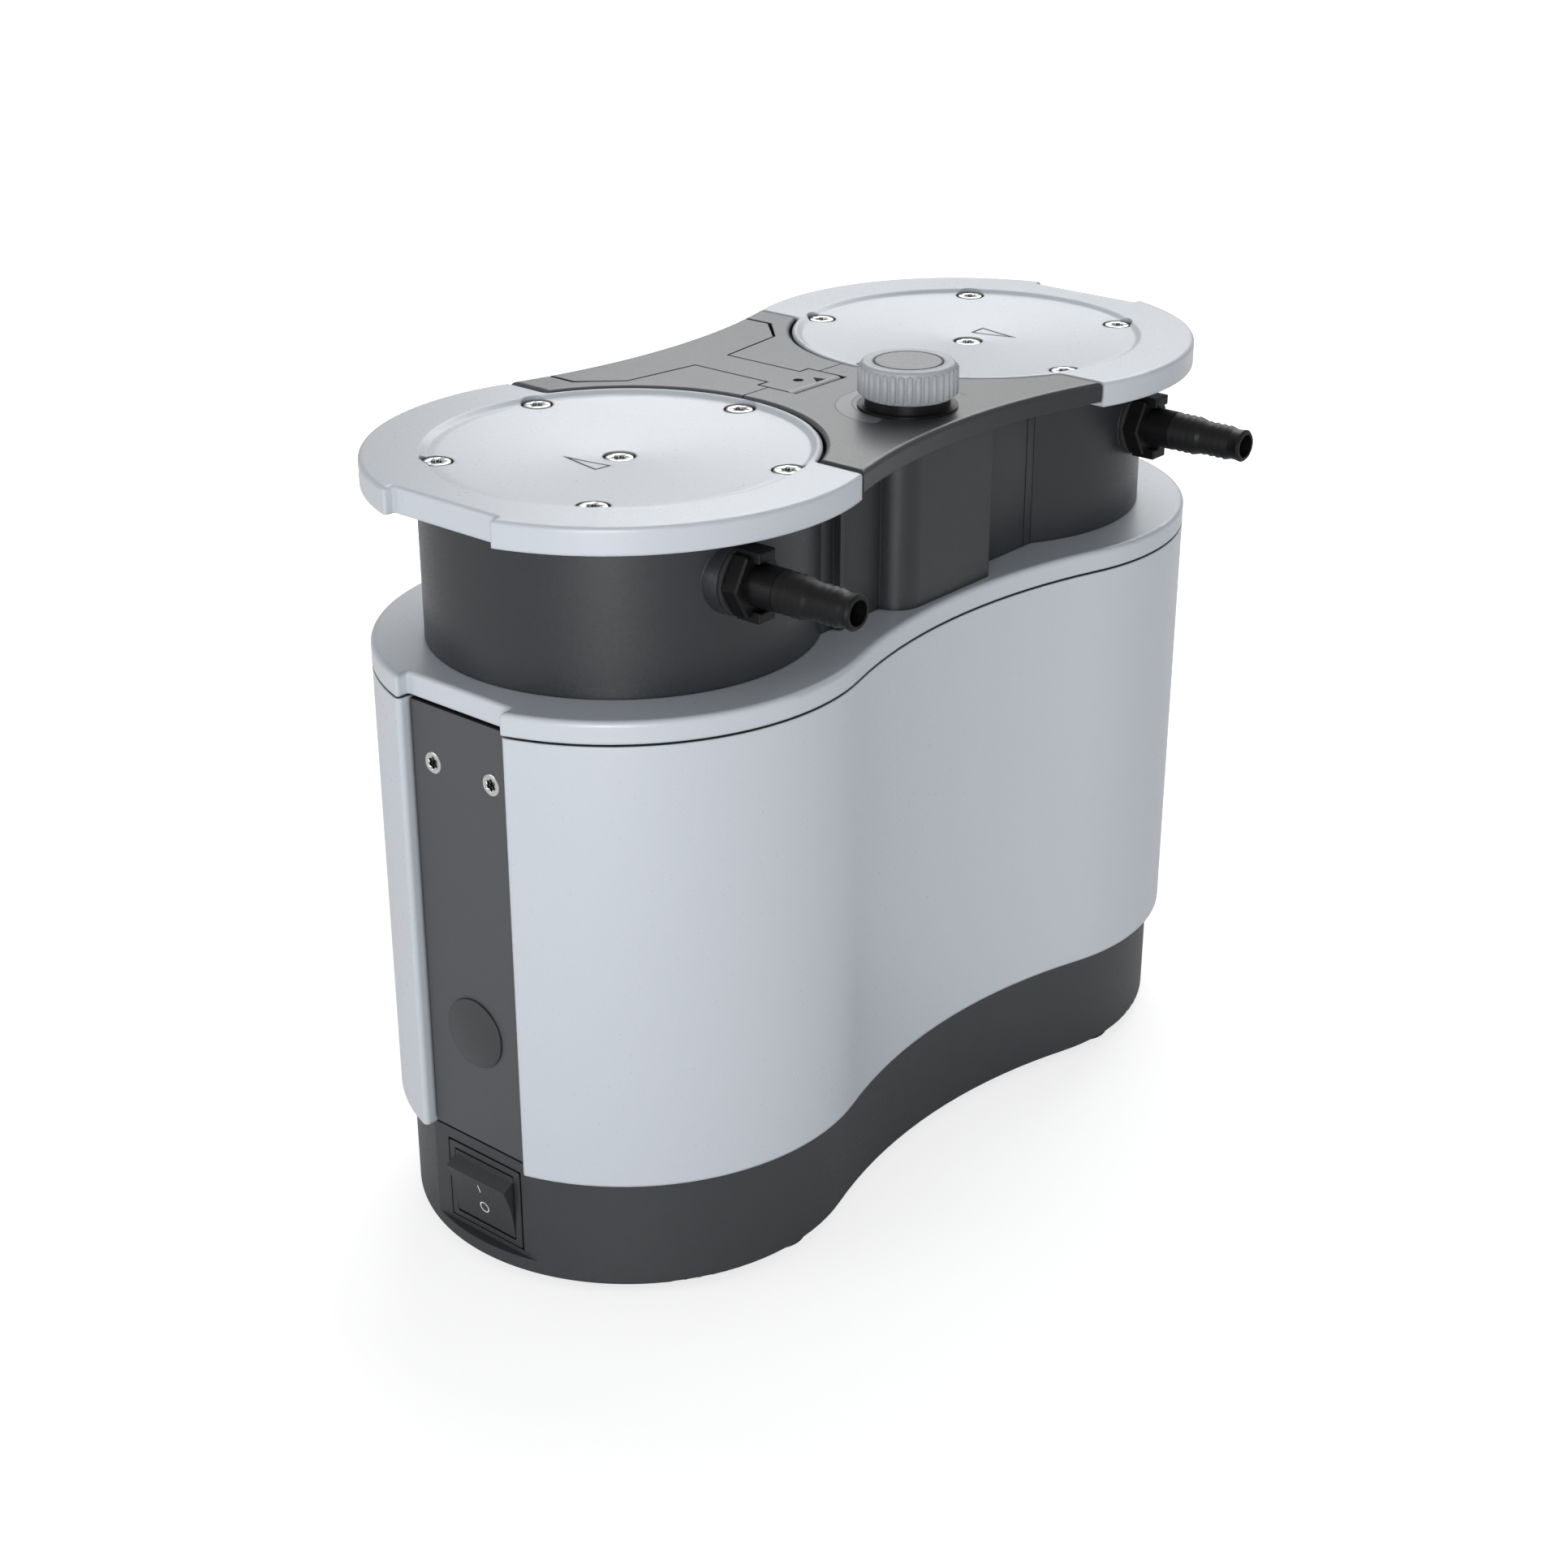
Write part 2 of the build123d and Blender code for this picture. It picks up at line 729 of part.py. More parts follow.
def centre_housing():
    body = slab(centre_plan(), deck_top, bridge_bottom)
    box_plan = block(
        (centre_box_left, -centre_box_face_y, deck_top),
        (centre_box_right, -centre_wall_y / 2, bridge_bottom),
    )
    corner = [e for e in box_plan.edges().filter_by(Axis.Z) if e.center().X < 0 and e.center().Y < -centre_wall_y]
    box_plan = fillet(corner, centre_box_round)
    body += box_plan
    body += block(
        (centre_rib_x - centre_rib_thickness / 2, -centre_wall_y - centre_rib_reach, deck_top),
        (centre_rib_x + centre_rib_thickness / 2, -centre_wall_y + centre_wall, bridge_bottom),
    )
    body -= block(
        (centre_seam_x - centre_seam_width, -centre_wall_y, deck_top),
        (centre_seam_x, -centre_wall_y + centre_seam_depth, bridge_bottom),
    )
    for side in (-1, 1):
        body -= rod_z(housing_radius, deck_top, bridge_bottom, side * head_x)
    body -= slab(centre_plan(centre_wall), deck_top, bridge_bottom - centre_wall)
    body -= rod_z(collar_root_radius, deck_top, bridge_bottom, 0, knob_y)
    body -= rod_z(ballast_seat_radius, deck_top, bridge_bottom, 0, ballast_seat_y)
    return body


def ballast_valve_seat():
    high = bridge_bottom - ballast_gap
    seat = rod_z(ballast_seat_radius, high - ballast_seat_height, high, 0, ballast_seat_y)
    seat = fillet(seat.edges().group_by(Axis.Z)[-1], ballast_gap)
    return seat - rod_z(ballast_bore_radius, high - ballast_seat_height, high, 0, ballast_seat_y)


def lever_plan(grow=0.0):
    right = [
        (lever_head_half + grow, lever_head_front - grow),
        (lever_head_half + grow, lever_head_back + grow),
        (lever_neck_half + grow, lever_head_back + grow),
        (lever_neck_half + grow, lever_neck_end - grow),
        (lever_shoulder_half + grow, lever_shoulder_y - grow),
        (lever_tip_half + 2 * grow, lever_tip_y - grow),
        (lever_tip_half + 2 * grow, body_radius),
    ]
    left = [(-x, y) for x, y in reversed(right)]
    return make_face(Polyline(*right, *left, close=True))


def bridge_plan():
    plan = waisted_plan(body_radius, waist_half)
    plan &= Rectangle(2 * (plate_shoulder_x - bridge_gap), 3 * body_radius)
    for side in (-1, 1):
        plan -= Pos(side * head_x, 0) * Circle(housing_radius + bridge_gap)
    return plan


def scale_plan():
    # A crescent that thins out clockwise round the knob.
    spread = (scale_end_deg - scale_start_deg) / 2
    lean = radians(scale_start_deg + spread - 90)
    offset_size = (scale_thick_end - scale_thin_end) / 2
    inner_radius = scale_radius - (scale_thick_end + scale_thin_end) / 2
    reach = 2 * scale_radius
    face = Circle(scale_radius)
    face -= Pos(offset_size * cos(lean), offset_size * sin(lean)) * Circle(inner_radius)
    start = radians(scale_start_deg)
    end = radians(scale_end_deg)
    wedge = make_face(
        Polyline(
            (0, 0),
            (reach * cos(end), reach * sin(end)),
            (-reach, -reach),
            (reach, -reach),
            (reach * cos(start), reach * sin(start)),
            close=True,
        )
    )
    face -= wedge
    ends = face.vertices().filter_by(lambda v: v.X < -scale_radius / 2)
    face = fillet(ends, scale_end_round)
    return Pos(0, knob_y) * face


def bridge_cover(front):
    cover = slab(bridge_plan(), bridge_bottom, bridge_top)
    cover = fillet(cover.edges().group_by(Axis.Z)[-1], bridge_round)
    far = 3 * body_radius
    if front:
        cover -= block((-far, bridge_split_y - bridge_split_gap / 2, 0), (far, far, far * 2))
    else:
        cover -= block((-far, -far, 0), (far, bridge_split_y + bridge_split_gap / 2, far * 2))
    cover -= slab(lever_plan(lever_gap), bridge_bottom, bridge_top)
    if front:
        cover -= rod_z(collar_radius, bridge_bottom, bridge_top, 0, knob_y)
        cover -= slab(scale_plan(), bridge_top - scale_depth, bridge_top)
        cover -= rod_x(lever_pin_radius, -lever_pin_half, lever_pin_half, lever_pivot_y, lever_pivot_z)
    return cover


def flow_scale_inlay():
    return slab(scale_plan(), bridge_top - scale_depth, bridge_top)


def ballast_lever():
    waist = waisted_plan(body_radius, waist_half)
    blank = slab(waist, bridge_bottom, bridge_top)
    blank = fillet(blank.edges().group_by(Axis.Z)[-1], bridge_round)
    far = 3 * body_radius
    lever = blank & slab(lever_plan(), 0, far * 2)
    # The front edge is a knuckle about the pin, so the lever can swing up.
    half = bridge_thickness / 2
    knuckle = rod_x(half, -lever_head_half, lever_head_half, lever_pivot_y, lever_pivot_z)
    lever -= block((-far, lever_head_front - 1, 0), (far, lever_pivot_y, far * 2))
    lever += knuckle
    lever -= rod_x(lever_pin_radius + lever_pin_clearance, -far, far, lever_pivot_y, lever_pivot_z)
    dot_y = (lever_head_back + lever_pivot_y) / 2
    lever -= rod_z(lever_dot_radius, bridge_top - lever_dot_depth, bridge_top, 0, dot_y)
    return lever


def ballast_lever_pin():
    return rod_x(lever_pin_radius, -lever_pin_half, lever_pin_half, lever_pivot_y, lever_pivot_z)


def flow_knob():
    ring = rod_z(knob_radius, knob_bottom, knob_top)
    ring = fillet(ring.edges().group_by(Axis.Z)[-1], knob_round)
    groove = rod_z(knob_groove_radius, knob_bottom, knob_top, knob_radius)
    for i in range(knob_ridges):
        ring -= Rot(0, 0, 360 * i / knob_ridges) * groove
    ring -= rod_z(knob_cap_radius + knob_cap_gap, knob_top - knob_cap_depth, knob_top)
    ring += rod_z(knob_stem_radius, knob_bottom - knob_stem_depth, knob_bottom)
    return Pos(0, knob_y, 0) * ring


def flow_knob_cap():
    cap = rod_z(knob_cap_radius, knob_top - knob_cap_depth, knob_top, 0, knob_y)
    return fillet(cap.edges().group_by(Axis.Z)[-1], knob_cap_gap)


def flow_valve_collar():
    collar = rod_z(collar_radius, bridge_bottom, bridge_top + collar_height)
    collar += rod_z(collar_flange_radius, bridge_top, bridge_top + collar_flange_height)
    collar += rod_z(collar_root_radius, bridge_bottom - collar_root_depth, bridge_bottom)
    collar -= rod_z(knob_stem_radius + stem_clearance, deck_top, bridge_top + collar_height)
    return Pos(0, knob_y, 0) * collar


def connector_profile():
    # Outline from the thread to the nose: barbs rise sharply and ramp down to the nose.
    seat = washer_thickness
    points = [(gas_port_radius, -thread_length), (thread_radius, -thread_length), (thread_radius, seat)]
    z = seat + hex_height
    points += [(hex_flats / 2 - 1, seat), (hex_flats / 2 - 1, z), (pipe_radius, z)]
    z += pipe_length
    points.append((pipe_radius, z))
    for radius in (pipe_radius, small_pipe_radius):
        for i in range(barb_count):
            points += [(radius - barb_depth, z), (radius, z + barb_pitch * 0.08)]
            z += barb_pitch
            points.append((radius - barb_depth, z))
        z += step_length
        points.append((small_pipe_radius - barb_depth, z))
    z += nose_length - step_length
    points += [(nose_radius, z - nose_chamfer), (nose_radius - nose_chamfer, z), (gas_port_radius, z)]
    clean = [points[0]]
    for point in points[1:]:
        if abs(point[0] - clean[-1][0]) + abs(point[1] - clean[-1][1]) > 0.01:
            clean.append(point)
    return clean


def connector_place(side):
    x = side * (head_x + connector_offset_x)
    return Pos(x, -connector_seat_y, connector_z) * Rot(90, 0, 0)


def hose_connector(side):
    body = lathe_z(connector_profile())
    hexagon = RegularPolygon(hex_flats / 2, 6, major_radius=False)
    nut = slab(hexagon, washer_thickness, washer_thickness + hex_height)
    nut = chamfer(nut.edges().group_by(Axis.Z)[-1], 0.5)
    for turn in (0, 180):
        lug = block(
            (-hex_lug_width / 2, hex_lug_inner, washer_thickness),
            (hex_lug_width / 2, hex_lug_inner + hex_lug_thickness, washer_thickness + hex_height + hex_lug_reach),
        )
        lug = fillet(lug.edges().group_by(Axis.Z)[-1], 0.5)
        nut += Rot(0, 0, turn) * lug
    nut -= rod_z(thread_radius - 0.4, washer_thickness, washer_thickness + hex_height)
    return connector_place(side) * (body + nut)


def connector_seal(side):
    ring = rod_z(washer_radius, 0, washer_thickness)
    ring = fillet(ring.edges().group_by(Axis.Z)[-1], washer_thickness / 3)
    return connector_place(side) * (ring - rod_z(thread_radius, 0, washer_thickness))


def switch_bezel():
    # Local Z points out of the end face; the frame lies in a shallow pocket of the base.
    inner_y = rocker_half_width + rocker_window_gap
    inner_z = rocker_radius + rocker_window_gap
    back = -bezel_pocket_depth
    front = back + bezel_thickness
    frame = slab(RectangleRounded(2 * bezel_half_height, 2 * bezel_half_width, bezel_corner), back, front)
    frame = fillet(frame.edges().group_by(Axis.Z)[-1], bezel_thickness / 5)
    frame += slab(Rectangle(2 * switch_body_half_height, 2 * switch_body_half_width), -switch_body_depth, back)
    frame -= slab(Rectangle(2 * inner_z, 2 * inner_y), -rocker_pivot_depth - rocker_radius - 1, front)
    frame = Pos(-base_flat_x, 0, switch_z) * Rot(0, -90, 0) * frame
    reach = rocker_half_width + trunnion_length + trunnion_clearance
    return frame - rod_y(trunnion_radius + trunnion_clearance, -reach, reach, rocker_pivot_x, switch_z)


def switch_rocker():
    # Side profile about the pivot: a long hollow low face, the ridge, a short top face and a shelf.
    low_z = -sqrt(rocker_radius**2 - rocker_low_edge**2)
    shelf_end = sqrt(rocker_radius**2 - rocker_low_edge**2)
    wide = 2 * rocker_radius
    middle = ((rocker_low_edge + rocker_ridge_out) / 2 - rocker_face_sag, (low_z + rocker_ridge_up) / 2)
    face = ThreePointArc(
        (-rocker_low_edge, low_z), (-middle[0], middle[1]), (-rocker_ridge_out, rocker_ridge_up)
    )
    rest = Polyline(
        (-rocker_ridge_out, rocker_ridge_up),
        (-rocker_low_edge, rocker_shelf_z),
        (-rocker_low_edge, shelf_end),
        (-rocker_low_edge, wide),
        (rocker_back, wide),
        (rocker_back, -wide),
        (-rocker_low_edge, -wide),
        (-rocker_low_edge, low_z),
    )
    profile = make_face([face, *rest.edges()]) & Circle(rocker_radius)
    barrel = extrude(profile, rocker_half_width, both=True)
    barrel = Rot(90, 0, 0) * barrel
    reach = rocker_half_width + trunnion_length
    barrel += rod_y(trunnion_radius, -reach, reach)
    return Pos(rocker_pivot_x, 0, switch_z) * barrel


def inlet_section(width, height, cut):
    # The socket section: upper corners cut off at a slant.
    w = width / 2
    h = height / 2
    return make_face(
        Polyline((-w, -h), (w, -h), (w, h - cut), (w - cut, h), (-w + cut, h), (-w, h - cut), close=True)
    )


def inlet_place():
    # Local X runs to +Y, local Y up and local Z out of the end face.
    return Location(Plane((base_flat_x, 0, inlet_z), x_dir=(0, 1, 0), z_dir=(1, 0, 0)))


def mains_inlet():
    flange = slab(RectangleRounded(inlet_flange_width, inlet_flange_height, edge_round), 0, inlet_flange_thickness)
    flange = fillet(flange.edges().group_by(Axis.Z)[-1], inlet_flange_thickness / 4)
    flange += slab(Rectangle(inlet_body_width, inlet_body_height), -inlet_body_depth, 0)
    floor = inlet_flange_thickness - socket_depth
    flange -= slab(inlet_section(socket_width, socket_height, socket_chamfer), floor, inlet_flange_thickness)
    return inlet_place() * flange


def mains_pins():
    floor = inlet_flange_thickness - socket_depth
    pins = Part()
    for x, y in ((-blade_spacing, -blade_stagger), (0, blade_stagger), (blade_spacing, -blade_stagger)):
        blade = block(
            (x - blade_width / 2, y - blade_height / 2, floor),
            (x + blade_width / 2, y + blade_height / 2, floor + blade_length),
        )
        pins += chamfer(blade.edges().group_by(Axis.Z)[-1], blade_width / 5)
    return inlet_place() * pins


def motor_cradle():
    floor = base_bottom + base_floor
    body = block(
        (-cradle_half_length, -cradle_half_width, floor),
        (cradle_half_length, cradle_half_width, cradle_side_height),
    )
    body -= rod_x(stator_radius, -cradle_half_length, cradle_half_length, 0, shaft_z)
    window = cradle_half_width * 0.55
    arch = (shaft_z - stator_radius - floor) * 0.6
    body -= block(
        (-cradle_half_length, -window, floor),
        (cradle_half_length, window, floor + arch),
    )
    return body


def motor_stator():
    ring = rod_x(stator_radius, -stator_half_length, stator_half_length, 0, shaft_z)
    return ring - rod_x(stator_bore, -stator_half_length, stator_half_length, 0, shaft_z)


def motor_end_shields():
    shields = Part()
    for side in (-1, 1):
        near = side * stator_half_length
        cap = rod_x(shield_radius, *sorted((near, near + side * shield_thickness)), 0, shaft_z)
        hub = near + side * shield_hub_reach
        cap += rod_x(shield_hub_radius, *sorted((near, hub)), 0, shaft_z)
        cap -= rod_x(bearing_radius, *sorted((hub - side * bearing_width, hub)), 0, shaft_z)
        cap -= rod_x(shaft_radius + 1, *sorted((near, hub)), 0, shaft_z)
        shields += cap
    return shields


def shaft_bearings():
    rings = Part()
    for side in (-1, 1):
        hub = side * (stator_half_length + shield_hub_reach)
        span = sorted((hub - side * bearing_width, hub))
        ring = rod_x(bearing_radius, *span, 0, shaft_z)
        rings += ring - rod_x(shaft_radius + running_clearance, *span, 0, shaft_z)
    return rings


def motor_shaft():
    shaft = rod_x(shaft_radius, -shaft_half_length, shaft_half_length, 0, shaft_z)
    return chamfer(shaft.edges().group_by(Axis.X)[0] + shaft.edges().group_by(Axis.X)[-1], shaft_radius / 8)


def rotor_core():
    core = rod_x(stator_bore - air_gap, -rotor_half_length, rotor_half_length, 0, shaft_z)
    return core - rod_x(shaft_radius, -rotor_half_length, rotor_half_length, 0, shaft_z)


def eccentric(side):
    x = side * head_x
    span = (x - eccentric_width / 2, x + eccentric_width / 2)
    cam = rod_x(eccentric_radius, *span, 0, shaft_z - side * crank_throw)
    return cam - rod_x(shaft_radius, *span, 0, shaft_z)


def rod_bearing(side):
    x = side * head_x
    z = shaft_z - side * crank_throw
    span = (x - rod_width / 2, x + rod_width / 2)
    return rod_x(rod_bearing_radius, *span, 0, z) - rod_x(eccentric_radius + running_clearance, *span, 0, z)


def connecting_rod(side):
    x = side * head_x
    z = shaft_z - side * crank_throw
    flange_top = diaphragm_z - side * crank_throw - clamp_gap
    flange_low = flange_top - rod_flange_thickness
    span = (x - rod_width / 2, x + rod_width / 2)
    stem = extrude(
        make_face(
            Polyline(
                (-rod_foot_half, z),
                (rod_foot_half, z),
                (rod_neck_half, flange_low),
                (-rod_neck_half, flange_low),
                close=True,
            )
        ),
        rod_width / 2,
        both=True,
    )
    rod = Pos(x, 0, 0) * Rot(0, 0, 90) * Rot(90, 0, 0) * stem
    rod += rod_x(rod_eye_radius, *span, 0, z)
    rod += rod_z(rod_flange_radius, flange_low, flange_top, x)
    rod += rod_z(rod_stud_radius, flange_top, flange_top + diaphragm_thickness + 2 * clamp_gap, x)
    return rod - rod_x(rod_bearing_radius, *span, 0, z)


def diaphragm_clamp(side):
    low = valve_plate_z - side * crank_throw + clamp_gap
    disc = rod_z(rod_flange_radius, low, low + clamp_thickness, side * head_x)
    return fillet(disc.edges().group_by(Axis.Z)[-1], clamp_thickness / 3)


pieces = {
    "base_tray": base_tray,
    "rubber_feet": rubber_feet,
    "side_shell_hose": lambda: side_shell(-1),
    "side_shell_plain": lambda: side_shell(1),
    "front_panel": front_panel,
    "rear_panel": rear_panel,
    "front_panel_screws": lambda: panel_screws(-1),
    "rear_panel_screws": lambda: panel_screws(1),
    "blanking_plug": blanking_plug,
    "deck_seal": deck_seal,
    "top_deck": top_deck,
    "head_housing_inlet": lambda: head_housing(-1),
    "head_housing_outlet": lambda: head_housing(1),
    "diaphragm_inlet": lambda: diaphragm(-1),
    "diaphragm_outlet": lambda: diaphragm(1),
    "valve_plate_inlet": lambda: valve_plate(-1),
    "valve_plate_outlet": lambda: valve_plate(1),
    "valve_disc_inlet": lambda: valve_disc(-1),
    "valve_disc_outlet": lambda: valve_disc(1),
    "valve_body_inlet": lambda: valve_body(-1),
    "valve_body_outlet": lambda: valve_body(1),
    "head_plate_inlet": lambda: head_plate(-1),
    "head_plate_outlet": lambda: head_plate(1),
    "head_plate_screws_inlet": lambda: head_plate_screws(-1),
    "head_plate_screws_outlet": lambda: head_plate_screws(1),
    "centre_housing": centre_housing,
    "bridge_cover_front": lambda: bridge_cover(True),
    "bridge_cover_rear": lambda: bridge_cover(False),
    "flow_scale_inlay": flow_scale_inlay,
    "flow_valve_collar": flow_valve_collar,
    "flow_knob": flow_knob,
    "flow_knob_cap": flow_knob_cap,
    "ballast_lever": ballast_lever,
    "ballast_lever_pin": ballast_lever_pin,
    "ballast_valve_seat": ballast_valve_seat,
    "hose_connector_inlet": lambda: hose_connector(-1),
    "hose_connector_outlet": lambda: hose_connector(1),
    "connector_seal_inlet": lambda: connector_seal(-1),
    "connector_seal_outlet": lambda: connector_seal(1),
    "switch_bezel": switch_bezel,
    "switch_rocker": switch_rocker,
    "mains_inlet": mains_inlet,
    "mains_pins": mains_pins,
    "motor_cradle": motor_cradle,
    "motor_stator": motor_stator,
    "motor_end_shields": motor_end_shields,
    "shaft_bearings": shaft_bearings,
    "motor_shaft": motor_shaft,
    "rotor_core": rotor_core,
    "eccentric_inlet": lambda: eccentric(-1),
    "eccentric_outlet": lambda: eccentric(1),
    "rod_bearing_inlet": lambda: rod_bearing(-1),
    "rod_bearing_outlet": lambda: rod_bearing(1),
    "connecting_rod_inlet": lambda: connecting_rod(-1),
    "connecting_rod_outlet": lambda: connecting_rod(1),
    "diaphragm_clamp_inlet": lambda: diaphragm_clamp(-1),
    "diaphragm_clamp_outlet": lambda: diaphragm_clamp(1),
}

os.makedirs("parts", exist_ok=True)
for name, make in pieces.items():
    export_step(make(), "parts/" + name + ".step")
    print("wrote", name)
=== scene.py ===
import json
import math
import bmesh
import bpy
from mathutils import Matrix, Vector


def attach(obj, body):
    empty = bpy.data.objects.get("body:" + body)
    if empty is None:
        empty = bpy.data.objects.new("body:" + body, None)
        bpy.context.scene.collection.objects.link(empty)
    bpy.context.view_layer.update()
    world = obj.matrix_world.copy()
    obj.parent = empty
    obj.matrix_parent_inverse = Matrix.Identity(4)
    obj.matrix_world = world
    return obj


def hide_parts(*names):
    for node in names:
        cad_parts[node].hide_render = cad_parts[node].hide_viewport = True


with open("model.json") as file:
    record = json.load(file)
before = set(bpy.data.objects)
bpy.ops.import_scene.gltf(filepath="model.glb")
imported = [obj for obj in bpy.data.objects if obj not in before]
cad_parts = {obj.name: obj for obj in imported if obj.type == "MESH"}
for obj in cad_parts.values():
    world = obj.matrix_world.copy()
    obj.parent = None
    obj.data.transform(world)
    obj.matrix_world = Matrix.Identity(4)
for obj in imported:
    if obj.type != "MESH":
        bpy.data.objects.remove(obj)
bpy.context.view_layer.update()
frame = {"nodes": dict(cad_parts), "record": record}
nodes = frame["nodes"]
mm = 0.001
print("frame loaded:", len(nodes), "nodes")


def isLink(value):
    return isinstance(value, Sock)


def give(tree, socket, value):
    # an input gets a link or a plain value
    if isLink(value):
        tree.links.new(value.out, socket)
    else:
        socket.default_value = value


class Sock:
    # wraps one output socket so that sums on it add Math nodes
    def __init__(self, tree, out):
        self.tree = tree
        self.out = out

    def maths(self, operation, first, second=0.0):
        made = self.tree.nodes.new("ShaderNodeMath")
        made.operation = operation
        give(self.tree, made.inputs[0], first)
        give(self.tree, made.inputs[1], second)
        return Sock(self.tree, made.outputs[0])

    def __add__(self, other):
        return self.maths("ADD", self, other)

    def __radd__(self, other):
        return self.maths("ADD", other, self)

    def __sub__(self, other):
        return self.maths("SUBTRACT", self, other)

    def __rsub__(self, other):
        return self.maths("SUBTRACT", other, self)

    def __mul__(self, other):
        return self.maths("MULTIPLY", self, other)

    def __rmul__(self, other):
        return self.maths("MULTIPLY", other, self)

    def __truediv__(self, other):
        return self.maths("DIVIDE", self, other)

    def __rtruediv__(self, other):
        return self.maths("DIVIDE", other, self)

    def clipped(self):
        made = self.maths("ADD", self, 0.0)
        made.out.node.use_clamp = True
        return made


class Graph:
    # a node tree and the one method that adds other nodes to it
    def __init__(self, tree):
        self.tree = tree

    def node(self, kind, settings, values, output=0):
        made = self.tree.nodes.new(kind)
        for key, value in settings.items():
            setattr(made, key, value)
        for key, value in values.items():
            give(self.tree, made.inputs[key], value)
        return Sock(self.tree, made.outputs[output]) if len(made.outputs) else None

    def ray(self, kind):
        return self.node("ShaderNodeLightPath", {}, {}, "Is " + kind + " Ray")


class Surface(Graph):
    # one material and the few ways this scene adds nodes to it
    def __init__(self, name):
        self.material = bpy.data.materials.new(name)
        self.material.use_nodes = True
        super().__init__(self.material.node_tree)
        self.shader = self.tree.nodes["Principled BSDF"]
        self.place = self.node("ShaderNodeTexCoord", {}, {}, "Object")

    def noise(self, scale, detail, roughness=0.55, stretch=None):
        where = self.place
        if stretch:
            where = self.node("ShaderNodeMapping", {}, {"Vector": self.place, "Scale": stretch})
        values = {"Vector": where, "Scale": scale, "Detail": detail, "Roughness": roughness}
        return self.node("ShaderNodeTexNoise", {"noise_dimensions": "3D"}, values)

    def ranged(self, value, low, high, toLow=0.0, toHigh=1.0):
        values = {"Value": value, "From Min": low, "From Max": high, "To Min": toLow, "To Max": toHigh}
        return self.node("ShaderNodeMapRange", {"clamp": True}, values)

    def mixed(self, factor, first, second):
        # a Mix node takes colours at inputs 6 and 7 and gives one at output 2
        values = {0: factor, 6: opaque(first), 7: opaque(second)}
        return self.node("ShaderNodeMix", {"data_type": "RGBA"}, values, 2)

    def feed(self, socket, value):
        give(self.tree, self.shader.inputs[socket], value)

    def bump(self, height, distance, strength, normal):
        values = {"Height": height, "Distance": distance, "Strength": strength}
        if normal:
            values["Normal"] = normal
        return self.node("ShaderNodeBump", {}, values)

    def openness(self, distance, closed, free):
        # 0 in narrow gaps and sockets, 1 on open faces; it masks the painted shade
        seen = self.node("ShaderNodeAmbientOcclusion", {"samples": 6}, {"Distance": distance}, "AO")
        return self.ranged(seen, closed, free)

    def alongY(self, low, high):
        across = self.node("ShaderNodeSeparateXYZ", {}, {"Vector": self.place}, "Y")
        return self.ranged(across, low, high)

    def softEdges(self, radius):
        return self.node("ShaderNodeBevel", {"samples": 4}, {"Radius": radius}) if radius else None


def opaque(colour):
    return colour if isLink(colour) else (*colour, 1)


def tone(colour, factor):
    return tuple(min(1.0, channel * factor) for channel in colour)


mouldedLook = {
    "cloudScale": 9.0, "cloudDetail": 3.0, "cloudRange": (0.3, 0.7), "variation": 0.03,
    "grainScale": 1400.0, "grainDetail": 2.0, "grainSpread": 0.6,
    "grainDepth": 0.00005, "grainStrength": 0.35,
    "speckRange": (0.35, 0.75), "speckle": 0.25, "speckTone": 0.82,
    "markScale": 14.0, "markDetail": 5.0, "markSpread": 0.7, "markStretch": (1.0, 1.0, 0.35),
    "markRange": (0.52, 0.72), "markStrength": 0.10, "markTone": 0.9, "markRough": 0.05,
    "roughness": 0.5, "roughSpread": 0.06, "roughRange": (0.3, 0.7),
    "waveDepth": 0.0004, "waveStrength": 0.25, "edge": 0.0004,
    "ior": 1.5, "coat": 0.0, "coatRoughness": 0.3,
    # painted shade: narrow gaps within this reach get a much darker colour, where shade falls
    "crevice": 0.0015, "creviceRange": (0.25, 0.7), "creviceTone": 0.06,
    # painted light and shade: a part can be made darker or paler towards one side along Y, as light falls on
    # it
    "fade": None, "fadeTone": 1.0,  # from and to along Y, and the tone at the first
}


